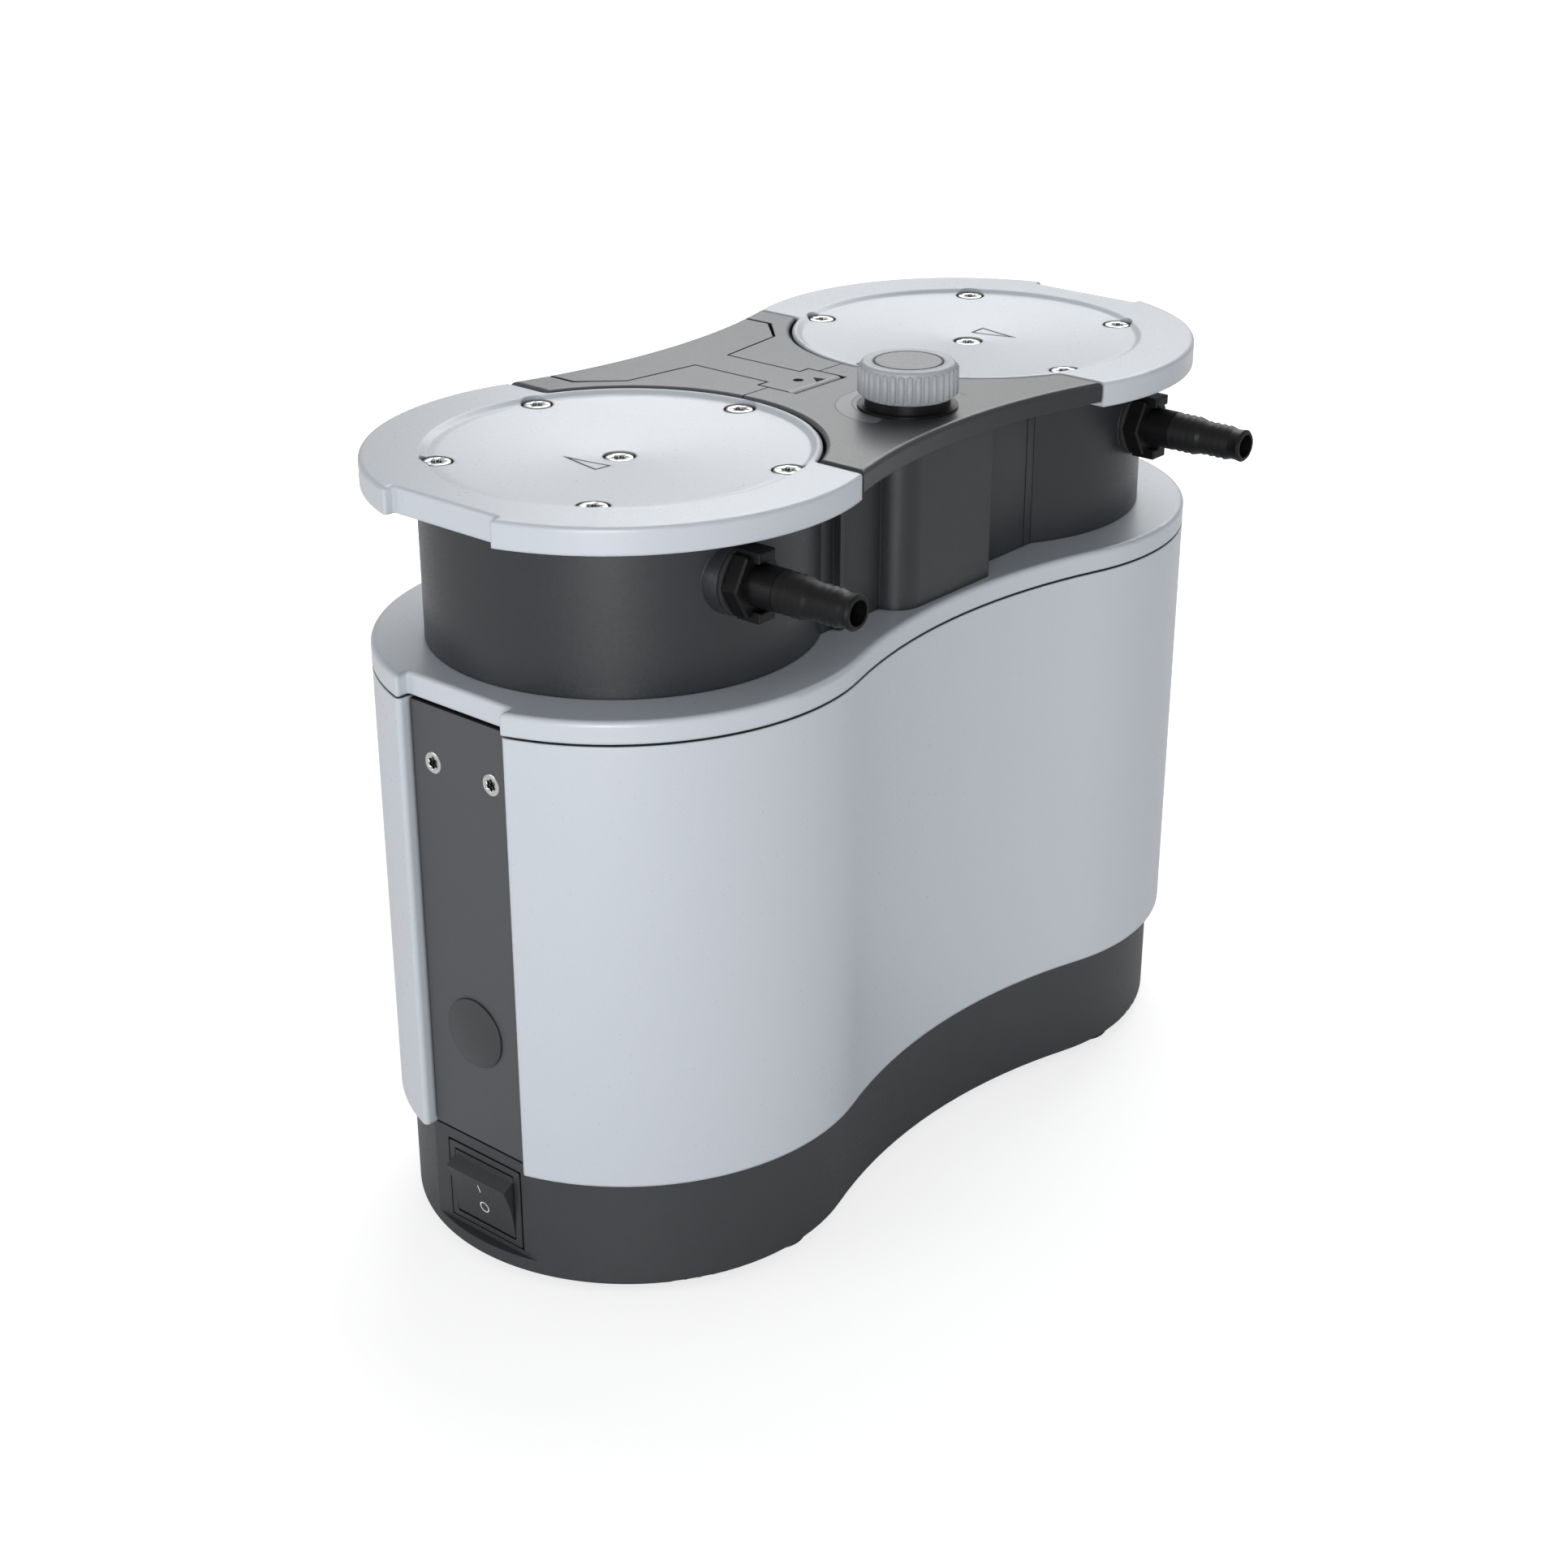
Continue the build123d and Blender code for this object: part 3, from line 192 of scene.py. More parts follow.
def moulded(name, **changes):
    # a painted or moulded skin: cloudy tone, fine grain, faint handling marks, soft edges, painted shade in
    # narrow gaps, and painted light and shade along Y where asked
    look = {**mouldedLook, **changes}
    surface = Surface(name)
    colour = look["colour"]
    cloud = surface.noise(look["cloudScale"], look["cloudDetail"])
    grain = surface.noise(look["grainScale"], look["grainDetail"], look["grainSpread"])
    marks = surface.noise(look["markScale"], look["markDetail"], look["markSpread"], look["markStretch"])
    darker, paler = tone(colour, 1 - look["variation"]), tone(colour, 1 + look["variation"])
    base = surface.mixed(surface.ranged(cloud, *look["cloudRange"]), darker, paler)
    speck = surface.ranged(grain, *look["speckRange"], 0.0, look["speckle"])
    base = surface.mixed(speck, base, tone(colour, look["speckTone"]))
    markMask = surface.ranged(marks, *look["markRange"])
    base = surface.mixed(markMask * look["markStrength"], base, tone(colour, look["markTone"]))
    # painted light and shade along Y: the colour goes to a darker or paler tone towards low Y
    if look["fade"]:
        base = surface.mixed(surface.alongY(*look["fade"]), tone(colour, look["fadeTone"]), base)
    # painted shade: narrow gaps and sockets take a much darker colour
    if look["crevice"]:
        free = surface.openness(look["crevice"], *look["creviceRange"])
        base = surface.mixed(free, tone(colour, look["creviceTone"]), base)
    smooth, dull = look["roughness"] - look["roughSpread"], look["roughness"] + look["roughSpread"]
    rough = surface.ranged(grain, *look["roughRange"], smooth, dull)
    surface.feed("Base Color", base)
    surface.feed("Roughness", rough + markMask * look["markRough"])
    fine = surface.bump(grain, look["grainDepth"], look["grainStrength"], surface.softEdges(look["edge"]))
    surface.feed("Normal", surface.bump(cloud, look["waveDepth"], look["waveStrength"], fine))
    surface.feed("IOR", look["ior"])
    surface.feed("Coat Roughness", look["coatRoughness"])
    surface.feed("Coat Weight", look["coat"])
    return surface.material


metalLook = {
    "streakScale": 500.0, "streakDetail": 4.0, "streakSpread": 0.65, "stretch": (1.0, 1.0, 0.05),
    "streakRange": (0.3, 0.7), "streakTones": (0.86, 1.1), "streakDepth": 0.00003, "streakStrength": 0.4,
    "bloomScale": 60.0, "bloomDetail": 4.0, "bloomSpread": 0.6, "bloomRange": (0.45, 0.7),
    "bloom": 0.3, "bloomTone": 0.75, "bloomRough": 0.1,
    "pitScale": 1800.0, "pitDetail": 2.0, "pitSpread": 0.5, "pitDepth": 0.00002, "pitStrength": 0.35,
    "roughness": 0.3, "smoother": 0.06, "rougher": 0.08, "edge": 0.0002,
    # painted shade in sockets, off unless a reach is given
    "crevice": 0.0, "creviceRange": (0.6, 0.95), "creviceTone": 0.03,
}


def metal(name, **changes):
    # drawn, turned or cast metal: streaks along one way, small pits, a dull bloom, and painted shade in
    # sockets where a reach is given
    look = {**metalLook, **changes}
    surface = Surface(name)
    colour = look["colour"]
    streak = surface.noise(look["streakScale"], look["streakDetail"], look["streakSpread"], look["stretch"])
    bloom = surface.noise(look["bloomScale"], look["bloomDetail"], look["bloomSpread"])
    pit = surface.noise(look["pitScale"], look["pitDetail"], look["pitSpread"])
    bloomMask = surface.ranged(bloom, *look["bloomRange"])
    darker, paler = (tone(colour, factor) for factor in look["streakTones"])
    base = surface.mixed(surface.ranged(streak, *look["streakRange"]), darker, paler)
    base = surface.mixed(bloomMask * look["bloom"], base, tone(colour, look["bloomTone"]))
    # painted shade: sockets and narrow gaps take a much darker colour
    if look["crevice"]:
        free = surface.openness(look["crevice"], *look["creviceRange"])
        base = surface.mixed(free, tone(colour, look["creviceTone"]), base)
    smooth, dull = look["roughness"] - look["smoother"], look["roughness"] + look["rougher"]
    rough = surface.ranged(streak, *look["streakRange"], smooth, dull)
    surface.feed("Base Color", base)
    surface.feed("Metallic", 1.0)
    surface.feed("Roughness", rough + bloomMask * look["bloomRough"])
    fine = surface.bump(streak, look["streakDepth"], look["streakStrength"], surface.softEdges(look["edge"]))
    surface.feed("Normal", surface.bump(pit, look["pitDepth"], look["pitStrength"], fine))
    return surface.material


finishes = {
    "shell_paint": moulded(
        "satinGreyPaint", colour=(0.553, 0.59, 0.64), variation=0.012, speckle=0.16, speckTone=0.9,
        roughness=0.33, ior=1.6, grainScale=1100.0, grainDepth=0.00004, grainStrength=0.3, markTone=0.95,
        coat=0.15, edge=0.0009),
    "base_plastic": moulded("charcoalMoulding", colour=(0.035, 0.0375, 0.0415), speckTone=1.5, roughness=0.5),
    "panel_plastic": moulded("slateMoulding", colour=(0.062, 0.0655, 0.071), speckTone=1.3, roughness=0.5),
    "head_plastic": moulded(
        "graphiteMoulding", colour=(0.0205, 0.0222, 0.0258), speckTone=1.5, roughness=0.38),
    # painted shade: darkening towards low Y along the cover, and in its narrow gaps
    "cover_plastic": moulded(
        "satinSlateMoulding", colour=(0.074, 0.0795, 0.0885), speckTone=1.25, roughness=0.33,
        roughSpread=0.05, grainScale=1700.0, crevice=0.0022, fade=(-0.05, -0.004), fadeTone=0.3),
    "black_plastic": moulded(
        "blackNylon", colour=(0.0035, 0.0035, 0.004), speckTone=1.5, roughness=0.42, markTone=1.0,
        edge=0.00012, ior=1.33),
    "gloss_black": moulded(
        "glossBlackMoulding", colour=(0.012, 0.012, 0.013), speckTone=1.6, roughness=0.22, roughSpread=0.03,
        grainStrength=0.08),
    "knob_plastic": moulded(
        "greyKnobMoulding", colour=(0.4, 0.42, 0.445), speckTone=0.85, roughness=0.42, crevice=0.0,
        edge=0.00012),
    "knob_cap_plastic": moulded(
        "greyCapMoulding", colour=(0.162, 0.172, 0.185), speckTone=0.8, roughness=0.4),
    "rubber": moulded(
        "footRubber", colour=(0.012, 0.012, 0.0125), speckTone=2.5, roughness=0.75, grainStrength=0.6,
        markTone=2.0),
    # painted shade in the screw sockets
    "steel": metal("zincPlatedSteel", colour=(0.7, 0.7, 0.69), roughness=0.2, crevice=0.002),
    "spring_steel": metal("oiledSteel", colour=(0.38, 0.38, 0.38), roughness=0.35, bloomTone=0.6),
    "pin_metal": metal("nickelPlate", colour=(0.75, 0.74, 0.72), roughness=0.18),
    "aluminium": metal("turnedAluminium", colour=(0.66, 0.67, 0.69), roughness=0.3),
    "cast": metal(
        "castAluminium", colour=(0.5, 0.5, 0.51), roughness=0.5, stretch=(1.0, 1.0, 1.0), pitScale=900.0,
        pitDepth=0.0001),
    "brass": metal("turnedBrass", colour=(0.72, 0.53, 0.26), roughness=0.28),
}
print("finishes made:", len(finishes))

switchFinish = moulded(
    "switchMoulding", colour=(0.03, 0.032, 0.035), speckTone=1.2, roughness=0.42, edge=0.0002)
ownFinishes = {  # pieces that differ from the others of their slot
    # painted light: the inlay is paler towards low Y
    "flow_scale_inlay": moulded(
        "greyScaleInlay", colour=(0.17, 0.177, 0.188), speckTone=0.85, roughness=0.36,
        fade=(-0.046, -0.036), fadeTone=1.7),
    # painted shade: the plug is darker than its panel, standing in for the shading of its dome
    "blanking_plug": moulded("plugPaintedShade", colour=(0.036, 0.038, 0.042), speckTone=1.3, roughness=0.4),
    "switch_bezel": switchFinish,
    "switch_rocker": switchFinish,
}
slotOf = {entry["node"]: entry["material_slot"] for entry in frame["record"]["subparts"]}
for name, obj in nodes.items():
    obj.data.materials.clear()
    obj.data.materials.append(ownFinishes.get(name, finishes[slotOf[name]]))
print("CAD nodes dressed")


def linked(name, data):
    made = bpy.data.objects.new(name, data)
    bpy.context.scene.collection.objects.link(made)
    return made


def meshObject(name, points, faces, material, smooth=False):
    mesh = bpy.data.meshes.new(name)
    mesh.from_pydata(points, [], faces)
    work = bmesh.new()
    work.from_mesh(mesh)
    bmesh.ops.recalc_face_normals(work, faces=work.faces)
    for face in work.faces:
        face.smooth = smooth and len(face.verts) == 4
    work.to_mesh(mesh)
    work.free()
    mesh.materials.append(material)
    return linked(name, mesh)


def circlePoints(radius, z, count, wave=0.0, lobes=6):
    points = []
    for step in range(count):
        angle = 2 * math.pi * step / count
        reach = radius * (1 + wave * math.cos(lobes * angle))
        points.append((reach * math.cos(angle), reach * math.sin(angle), z))
    return points


def loftObject(name, rings, material):
    # rings of equal length joined by smooth quads, closed by a flat face at each end
    count = len(rings[0])
    points = [point for ring in rings for point in ring]
    faces = [list(range(count))[::-1]]
    for level in range(len(rings) - 1):
        low, high = level * count, (level + 1) * count
        for step in range(count):
            after = (step + 1) % count
            faces.append([low + step, low + after, high + after, high + step])
    last = (len(rings) - 1) * count
    faces.append(list(range(last, last + count)))
    return meshObject(name, points, faces, material, smooth=True)


def bandFaces(sections, closed):
    # walls between sections of four points each, with end faces on an open band
    faces = []
    for step in range(sections if closed else sections - 1):
        here, there = step * 4, ((step + 1) % sections) * 4
        for first, second in ((0, 1), (1, 3), (3, 2), (2, 0)):
            faces.append([here + first, here + second, there + second, there + first])
    if not closed:
        faces += [[0, 1, 3, 2], [(sections - 1) * 4 + corner for corner in (0, 2, 3, 1)]]
    return faces


def moved(obj, matrix):
    obj.data.transform(matrix)
    return obj


def joined(objects, name):
    work = bmesh.new()
    for obj in objects:
        work.from_mesh(obj.data)
    mesh = bpy.data.meshes.new(name)
    for material in objects[0].data.materials:
        mesh.materials.append(material)
    work.to_mesh(mesh)
    work.free()
    for obj in objects:
        bpy.data.objects.remove(obj)
    return linked(name, mesh)


def ringTree():
    # Geometry Nodes: copies of a template on a circle, realised, with one material
    tree = bpy.data.node_groups.new("ringOfCopies", "GeometryNodeTree")
    kinds = {
        "Count": "NodeSocketInt", "Circle Radius": "NodeSocketFloat", "Start Angle": "NodeSocketFloat",
        "Turn": "NodeSocketFloat", "Template": "NodeSocketObject", "Finish": "NodeSocketMaterial",
    }
    for label, kind in kinds.items():
        tree.interface.new_socket(name=label, in_out="INPUT", socket_type=kind)
    tree.interface.new_socket(name="Geometry", in_out="OUTPUT", socket_type="NodeSocketGeometry")
    graph = Graph(tree)
    entry = graph.node("NodeGroupInput", {}, {}).out.node
    given = {label: Sock(tree, entry.outputs[label]) for label in kinds}
    index = graph.node("GeometryNodeInputIndex", {}, {})
    angle = given["Start Angle"] + index * (2 * math.pi) / given["Count"]
    across = angle.maths("COSINE", angle) * given["Circle Radius"]
    along = angle.maths("SINE", angle) * given["Circle Radius"]
    spot = graph.node("ShaderNodeCombineXYZ", {}, {"X": across, "Y": along})
    turned = graph.node("ShaderNodeCombineXYZ", {}, {"Z": angle * given["Turn"]})
    points = graph.node("GeometryNodePoints", {}, {"Count": given["Count"], "Position": spot})
    shape = graph.node("GeometryNodeObjectInfo", {}, {"Object": given["Template"]}, "Geometry")
    placing = {"Points": points, "Instance": shape, "Rotation": turned}
    copies = graph.node("GeometryNodeInstanceOnPoints", {}, placing)
    solid = graph.node("GeometryNodeRealizeInstances", {}, {"Geometry": copies})
    painted = graph.node("GeometryNodeSetMaterial", {}, {"Geometry": solid, "Material": given["Finish"]})
    graph.node("NodeGroupOutput", {}, {"Geometry": painted})
    return tree


copiesTree = ringTree()


def ringOf(name, template, material, count, radius, start=0.0, turn=1.0):
    # turn is 1 where each copy faces along its own radius and 0 where none is turned
    holder = linked(name + "Holder", bpy.data.meshes.new(name + "Holder"))
    modifier = holder.modifiers.new("copies", "NODES")
    modifier.node_group = copiesTree
    values = {
        "Count": count, "Circle Radius": radius, "Start Angle": start,
        "Turn": turn, "Template": template, "Finish": material,
    }
    for item in copiesTree.interface.items_tree:
        if item.in_out == "INPUT":
            modifier[item.identifier] = values[item.name]
    graph = bpy.context.evaluated_depsgraph_get()
    mesh = bpy.data.meshes.new_from_object(holder.evaluated_get(graph))
    bpy.data.objects.remove(holder)
    return linked(name, mesh)


screwForm = {
    "facets": 96, "neck": 0.02 * mm,
    "rim": [(0.975, 0.45), (0.92, 0.12)],  # share of the head's radius, share of the rim's depth
    "flat": 0.86,  # share of the head's radius inside which its top is flat
    "mouth": [(1.13, 0.0, 0.10), (1.03, 0.12 * mm, 0.14), (1.0, 0.3 * mm, 0.15)],  # share, depth, lobes
    "floor": (0.97, 0.15),  # share of the socket's radius, lobes
}


def screwTemplate(look):
    # shank, head and a six-lobed socket, with the top of the head at z = 0
    head, shank, facets = look["head"], look["shank"], screwForm["facets"]
    under = shank if look["cone"] else head
    rings = [
        circlePoints(shank, -look["length"], facets),
        circlePoints(shank, -look["height"] + screwForm["neck"], facets),
        circlePoints(under, -look["height"], facets),
        circlePoints(head, -look["height"] * look["side"], facets),
    ]
    for share, depth in screwForm["rim"]:
        rings.append(circlePoints(head * share, -look["rim"] * depth, facets))
    rings.append(circlePoints(head * screwForm["flat"], 0, facets))
    for share, depth, wave in screwForm["mouth"]:
        rings.append(circlePoints(look["socket"] * share, -depth, facets, wave))
    share, wave = screwForm["floor"]
    rings.append(circlePoints(look["socket"] * share, -look["socketDepth"], facets, wave))
    return loftObject("screwTemplate", rings, finishes["steel"])


plateScrews = {
    "head": 3.5 * mm, "height": 2.3 * mm, "side": 0.35, "shank": 1.95 * mm, "length": 20 * mm,
    "rim": 0.8 * mm, "socket": 1.5 * mm, "socketDepth": 1.5 * mm, "cone": False,
    "circle": 41.65 * mm, "count": 5, "centreTurn": 0.35,
    "headX": 66.5 * mm, "top": 193.0 * mm, "centreTop": 190.9 * mm,
}
for label, side in (("inlet", -1), ("outlet", 1)):
    template = screwTemplate(plateScrews)
    start = 0.0 if side < 0 else math.pi
    ring = ringOf("ring", template, finishes["steel"], plateScrews["count"], plateScrews["circle"], start)
    moved(ring, Matrix.Translation((side * plateScrews["headX"], 0, plateScrews["top"])))
    centre = ringOf("centre", template, finishes["steel"], 1, 0.0, plateScrews["centreTurn"])
    moved(centre, Matrix.Translation((side * plateScrews["headX"], 0, plateScrews["centreTop"])))
    bpy.data.objects.remove(template)
    made = joined([ring, centre], "lobedScrews_" + label)
    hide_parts("head_plate_screws_" + label)
    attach(made, "machine")

panelScrews = {
    "head": 2.75 * mm, "height": 1.3 * mm, "side": 0.12, "shank": 1.45 * mm, "length": 9.0 * mm,
    "rim": 0.3 * mm, "socket": 1.25 * mm, "socketDepth": 1.1 * mm, "cone": True,
    "count": 2, "spread": 9.4 * mm, "faceX": 120.0 * mm, "z": 129.8 * mm,
}
for label, side in (("front", -1), ("rear", 1)):
    template = moved(screwTemplate(panelScrews), Matrix.Rotation(side * math.pi / 2, 4, "Y"))
    pair = ringOf(
        "countersunkScrews_" + label, template, finishes["steel"], panelScrews["count"],
        panelScrews["spread"], math.pi / 2, 0.0)
    bpy.data.objects.remove(template)
    moved(pair, Matrix.Translation((side * panelScrews["faceX"], 0, panelScrews["z"])))
    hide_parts(label + "_panel_screws")
    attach(pair, "machine")
print("screws set")

# the knob: a round-shouldered body with upright half-round ridges, over its stem
knob = {
    "y": -31.45 * mm, "low": 197.0 * mm, "high": 205.2 * mm, "radius": 11.45 * mm, "facets": 132,
    "footIn": 0.5 * mm, "footUp": 0.4 * mm, "shoulder": 0.95 * mm, "shoulderSteps": 8,
    "capRadius": 8.45 * mm, "capDepth": 1.6 * mm, "capEdgeOut": 0.25 * mm, "capEdgeDown": 0.2 * mm,
    "stem": 3.0 * mm, "stemLow": 175.0 * mm,
    "ridges": 36, "ridge": 0.72 * mm, "ridgeFacets": 16,
    "reach": 12.1 * mm, "sunk": 1.02,  # a ridge's centre lies this many of its radii inside the reach
    "ridgeFoot": 0.45 * mm, "ridgeTop": 0.9,  # gap under the ridges, share of the shoulder above them
    "inset": 0.25 * mm,  # how far a ridge's ends lean in
    "lowEnd": (0.4, 0.4 * mm), "highEnd": (0.45, 0.45 * mm),  # share of a ridge's size, length of its taper
}
profile = [(knob["stem"], knob["stemLow"]), (knob["stem"], knob["low"])]
profile.append((knob["radius"] - knob["footIn"], knob["low"]))
profile.append((knob["radius"], knob["low"] + knob["footUp"]))
for step in range(knob["shoulderSteps"] + 1):
    angle = math.pi / 2 * step / knob["shoulderSteps"]
    out = knob["radius"] - knob["shoulder"] * (1 - math.cos(angle))
    profile.append((out, knob["high"] - knob["shoulder"] * (1 - math.sin(angle))))
profile.append((knob["capRadius"] + knob["capEdgeOut"], knob["high"]))
profile.append((knob["capRadius"], knob["high"] - knob["capEdgeDown"]))
profile.append((knob["capRadius"], knob["high"] - knob["capDepth"]))
bodyRings = [circlePoints(radius, z, knob["facets"]) for radius, z in profile]
body = loftObject("body", bodyRings, finishes["knob_plastic"])
ridgeLow, ridgeHigh = knob["low"] + knob["ridgeFoot"], knob["high"] - knob["shoulder"] * knob["ridgeTop"]
lowShare, lowRun = knob["lowEnd"]
highShare, highRun = knob["highEnd"]
sunk = knob["ridge"] * knob["sunk"]
ridgeRings = []
for z, share, inset in (
        (ridgeLow, lowShare, knob["inset"]), (ridgeLow + lowRun, 1.0, 0),
        (ridgeHigh - highRun, 1.0, 0), (ridgeHigh, highShare, knob["inset"])):
    ring = circlePoints(knob["ridge"] * share, z, knob["ridgeFacets"])
    ridgeRings.append([(x + knob["reach"] - sunk - inset, y, height) for x, y, height in ring])
ridge = loftObject("ridge", ridgeRings, finishes["knob_plastic"])
ridges = ringOf("ridges", ridge, finishes["knob_plastic"], knob["ridges"], 0.0)
bpy.data.objects.remove(ridge)
turnKnob = moved(joined([body, ridges], "ridgedKnob"), Matrix.Translation((0, knob["y"], 0)))
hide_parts("flow_knob")
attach(turnKnob, "knob")
print("knob made")

# on and off marks printed on the rocker's hollow face, measured from its pivot
marks = {
    "pivot": (-117.3 * mm, 0.0, 18.4 * mm), "low": (-2.6 * mm, -8.51 * mm), "ridge": (-5.85 * mm, 5.65 * mm),
    "sag": 0.7 * mm, "proud": 0.05 * mm, "sunk": 0.05 * mm, "stroke": 0.28 * mm,
    "lineLow": 1.2 * mm, "lineHigh": 3.6 * mm, "lineSteps": 12,
    "circleZ": -3.6 * mm, "circle": 1.38 * mm, "circleSteps": 48, "colour": (0.85, 0.85, 0.85),
}
markFinish = moulded("whiteMarkInk", colour=marks["colour"], speckTone=0.9, roughness=0.5, edge=0.0)


def arcCentre(first, second, third):
    # centre of the circle through three points
    ax, ay, bx, by, cx, cy = *first, *second, *third
    aa, bb, cc = ax**2 + ay**2, bx**2 + by**2, cx**2 + cy**2
    scale = 2 * (ax * (by - cy) + bx * (cy - ay) + cx * (ay - by))
    x = (aa * (by - cy) + bb * (cy - ay) + cc * (ay - by)) / scale
    y = (aa * (cx - bx) + bb * (ax - cx) + cc * (bx - ax)) / scale
    return x, y


low, ridgeLine = marks["low"], marks["ridge"]
middle = ((low[0] + ridgeLine[0]) / 2 + marks["sag"], (low[1] + ridgeLine[1]) / 2)
faceCentre = arcCentre(low, middle, ridgeLine)
faceRadius = math.dist(faceCentre, low)


def onFace(y, z, lift):
    # a point of the hollow rocker face at that height, lifted off it
    x = faceCentre[0] + math.sqrt(faceRadius**2 - (z - faceCentre[1])**2) - lift
    return (marks["pivot"][0] + x, y, marks["pivot"][2] + z)


def faceStrip(name, centreLine, closed):
    # a stroke on the face along points that carry their sideways direction
    points = []
    for y, z, sideY, sideZ in centreLine:
        for offset in (-marks["stroke"] / 2, marks["stroke"] / 2):
            for lift in (-marks["sunk"], marks["proud"]):
                points.append(onFace(y + sideY * offset, z + sideZ * offset, lift))
    return meshObject(name, points, bandFaces(len(centreLine), closed), markFinish)


onLine, offLine = [], []
for step in range(marks["lineSteps"] + 1):
    rise = (marks["lineHigh"] - marks["lineLow"]) * step / marks["lineSteps"]
    onLine.append((0, marks["lineLow"] + rise, 1, 0))
for step in range(marks["circleSteps"]):
    angle = 2 * math.pi * step / marks["circleSteps"]
    sideY, sideZ = math.cos(angle), math.sin(angle)
    offLine.append((marks["circle"] * sideY, marks["circleZ"] + marks["circle"] * sideZ, sideY, sideZ))
for name, centreLine, closed in (("onMark", onLine, False), ("offMark", offLine, True)):
    mark = faceStrip(name, centreLine, closed)
    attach(mark, "rocker")

# a small black pointer let into the head of the ballast lever
pointer = {
    "top": 194.2 * mm, "proud": 0.05 * mm, "deep": 0.3 * mm,
    "outline": [(1.6 * mm, -1.9 * mm), (5.0 * mm, -1.9 * mm), (4.1 * mm, 1.2 * mm)],
}


def inlay(name, outline, low, high, material):
    count = len(outline)
    points = [(x, y, z) for z in (low, high) for x, y in outline]
    faces = [list(range(count))[::-1], list(range(count, 2 * count))]
    faces += [[k, (k + 1) % count, count + (k + 1) % count, count + k] for k in range(count)]
    return meshObject(name, points, faces, material)


pointerInk = moulded(
    "dullBlackInk", colour=(0.004, 0.004, 0.004), speckTone=1.4, roughness=0.85, ior=1.3, edge=0.0)
high = pointer["top"] + pointer["proud"]
piece = inlay("leverPointer", pointer["outline"], high - pointer["deep"], high, pointerInk)
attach(piece, "lever")

# painted shade: a black sheet at the bottom of the gap round the switch bezel, where there is only shade
shadeSheet = {
    "floorX": -118.7 * mm, "lift": 0.02 * mm, "thick": 0.35 * mm, "z": 18.4 * mm,
    "inner": (12.1 * mm, 10.7 * mm), "outer": (12.45 * mm, 11.05 * mm),
}
shadeSheetPoints = []
for sideY, sideZ in ((-1, -1), (1, -1), (1, 1), (-1, 1)):
    for halfY, halfZ in (shadeSheet["inner"], shadeSheet["outer"]):
        for x in (shadeSheet["floorX"] - shadeSheet["lift"], shadeSheet["floorX"] - shadeSheet["thick"]):
            shadeSheetPoints.append((x, sideY * halfY, shadeSheet["z"] + sideZ * halfZ))
shadeSheetObject = meshObject("bezelGapLiner", shadeSheetPoints, bandFaces(4, True), finishes["black_plastic"])
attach(shadeSheetObject, "machine")
print("marks set")

floorLook = {
    "size": 6.0, "colour": (0.94, 0.94, 0.94), "roughness": 0.9,
    "mistScale": 3.0, "mistDetail": 2.0, "mistTone": 0.985,
    "glow": 1.55, "lift": 0.46, "near": 0.16, "far": 0.5,  # the glow's share is lift at near and whole at far
}
bpy.ops.mesh.primitive_plane_add(size=floorLook["size"])
floor = bpy.context.object
floor.name = "studioFloor"
floorSurface = Surface("paleFloor")
mist = floorSurface.noise(floorLook["mistScale"], floorLook["mistDetail"])
misty = tone(floorLook["colour"], floorLook["mistTone"])
floorSurface.feed("Base Color", floorSurface.mixed(mist, misty, floorLook["colour"]))
floorSurface.feed("Roughness", floorLook["roughness"])
floorSurface.feed("Specular IOR Level", 0.0)
away = floorSurface.node("ShaderNodeVectorMath", {"operation": "LENGTH"}, {0: floorSurface.place}, "Value")
share = floorSurface.ranged(away, floorLook["near"], floorLook["far"], floorLook["lift"], 1.0)
lit = Sock(floorSurface.tree, floorSurface.shader.outputs[0])
glow = floorSurface.node("ShaderNodeEmission", {}, {"Strength": floorLook["glow"]})
both = floorSurface.node("ShaderNodeMixShader", {}, {0: share * floorSurface.ray("Camera"), 1: lit, 2: glow})
give(floorSurface.tree, floorSurface.tree.nodes["Material Output"].inputs["Surface"], both)
floor.data.materials.append(floorSurface.material)

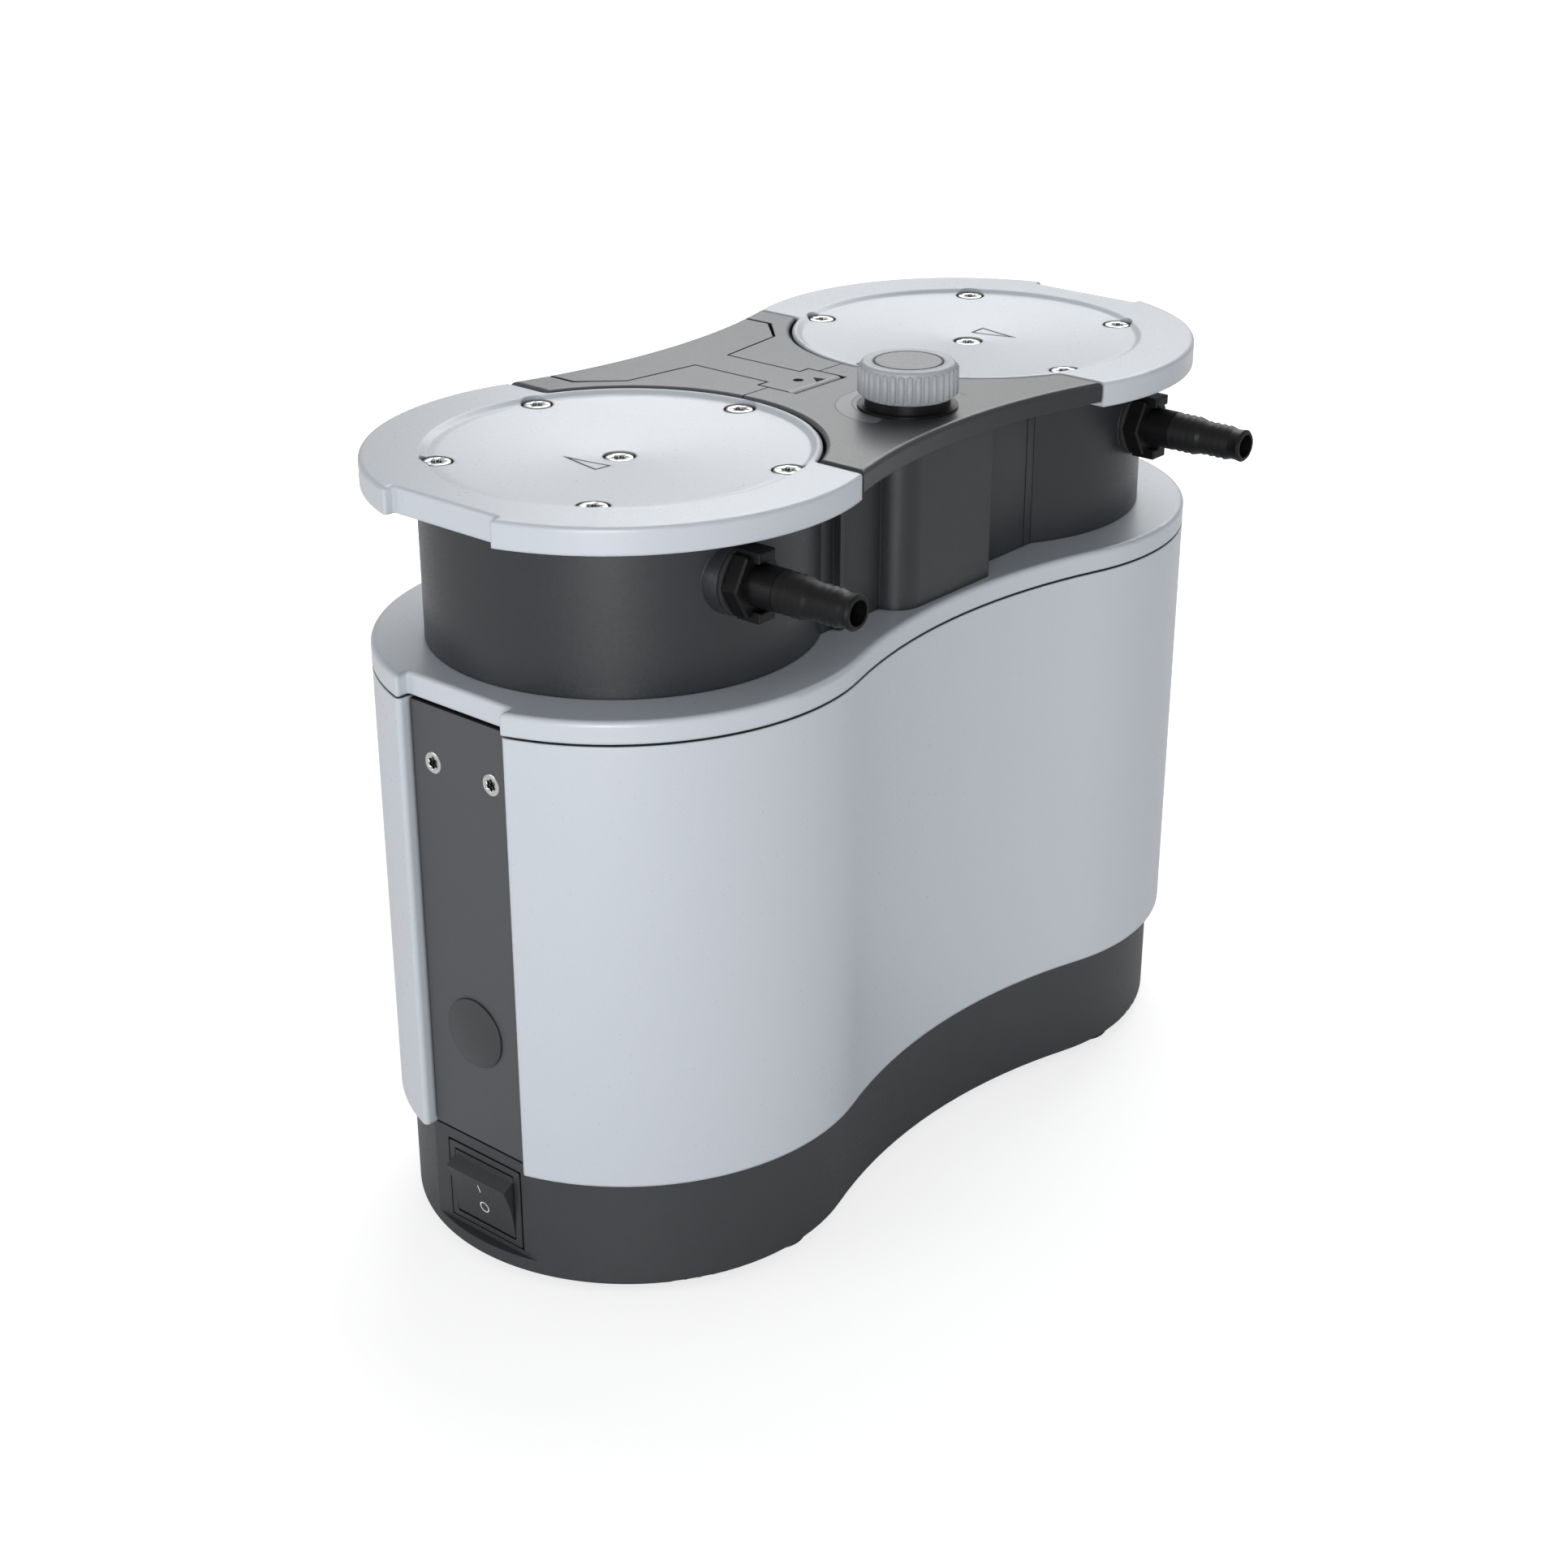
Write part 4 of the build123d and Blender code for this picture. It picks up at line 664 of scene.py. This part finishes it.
lamps = {
    "topSoftbox": {"at": (0.95, 0.5, 1.1), "aim": (0.0, 0.0, 0.15), "size": 1.1, "power": 12.5},
    "frontSoftbox": {"at": (-1.15, -0.78, 0.26), "aim": (0.0, 0.0, 0.1), "size": 0.48, "power": 9.4},
    "leftFill": {"at": (-1.1, 0.6, 0.45), "aim": (0.0, 0.0, 0.1), "size": 0.6, "power": 2.6},
    "sideFill": {"at": (0.45, -1.6, 0.9), "aim": (0.0, 0.0, 0.1), "size": 0.8, "power": 1.0},
}
for name, lamp in lamps.items():
    light = bpy.data.lights.new(name, "AREA")
    light.size = lamp["size"]
    light.energy = lamp["power"]
    obj = linked(name, light)
    obj.location = lamp["at"]
    obj.rotation_euler = (Vector(lamp["aim"]) - Vector(lamp["at"])).to_track_quat("-Z", "Y").to_euler()

airLook = {"fillColour": (0.97, 0.985, 1.0), "fill": 0.3, "white": 1.0, "glossyShare": 0.4}
world = bpy.data.worlds.new("studioAir")
bpy.context.scene.world = world
world.use_nodes = True
air = Graph(world.node_tree)
air.tree.nodes.clear()
fillColour = (*airLook["fillColour"], 1)
fill = air.node("ShaderNodeBackground", {}, {"Color": fillColour, "Strength": airLook["fill"]})
white = air.node("ShaderNodeBackground", {}, {"Color": (1, 1, 1, 1), "Strength": airLook["white"]})
seen = (air.ray("Camera") + air.ray("Glossy") * airLook["glossyShare"] + air.ray("Transmission")).clipped()
pick = air.node("ShaderNodeMixShader", {}, {0: seen, 1: fill, 2: white})
air.node("ShaderNodeOutputWorld", {}, {"Surface": pick})

view = {
    "at": (-0.4736, -0.3956, 0.3680), "back": (-0.6926, -0.5891, 0.4162),
    "lens": 59.19, "sensor": 36.0, "near": 0.01,
}
eye = bpy.data.cameras.new("studioCamera")
eye.lens = view["lens"]
eye.sensor_width = view["sensor"]
eye.clip_start = view["near"]
cameraObject = linked("studioCamera", eye)
cameraObject.location = view["at"]
cameraObject.rotation_euler = (-Vector(view["back"])).to_track_quat("-Z", "Y").to_euler()
bpy.context.scene.camera = cameraObject
bpy.context.scene.view_settings.view_transform = "Standard"
print("stage set")
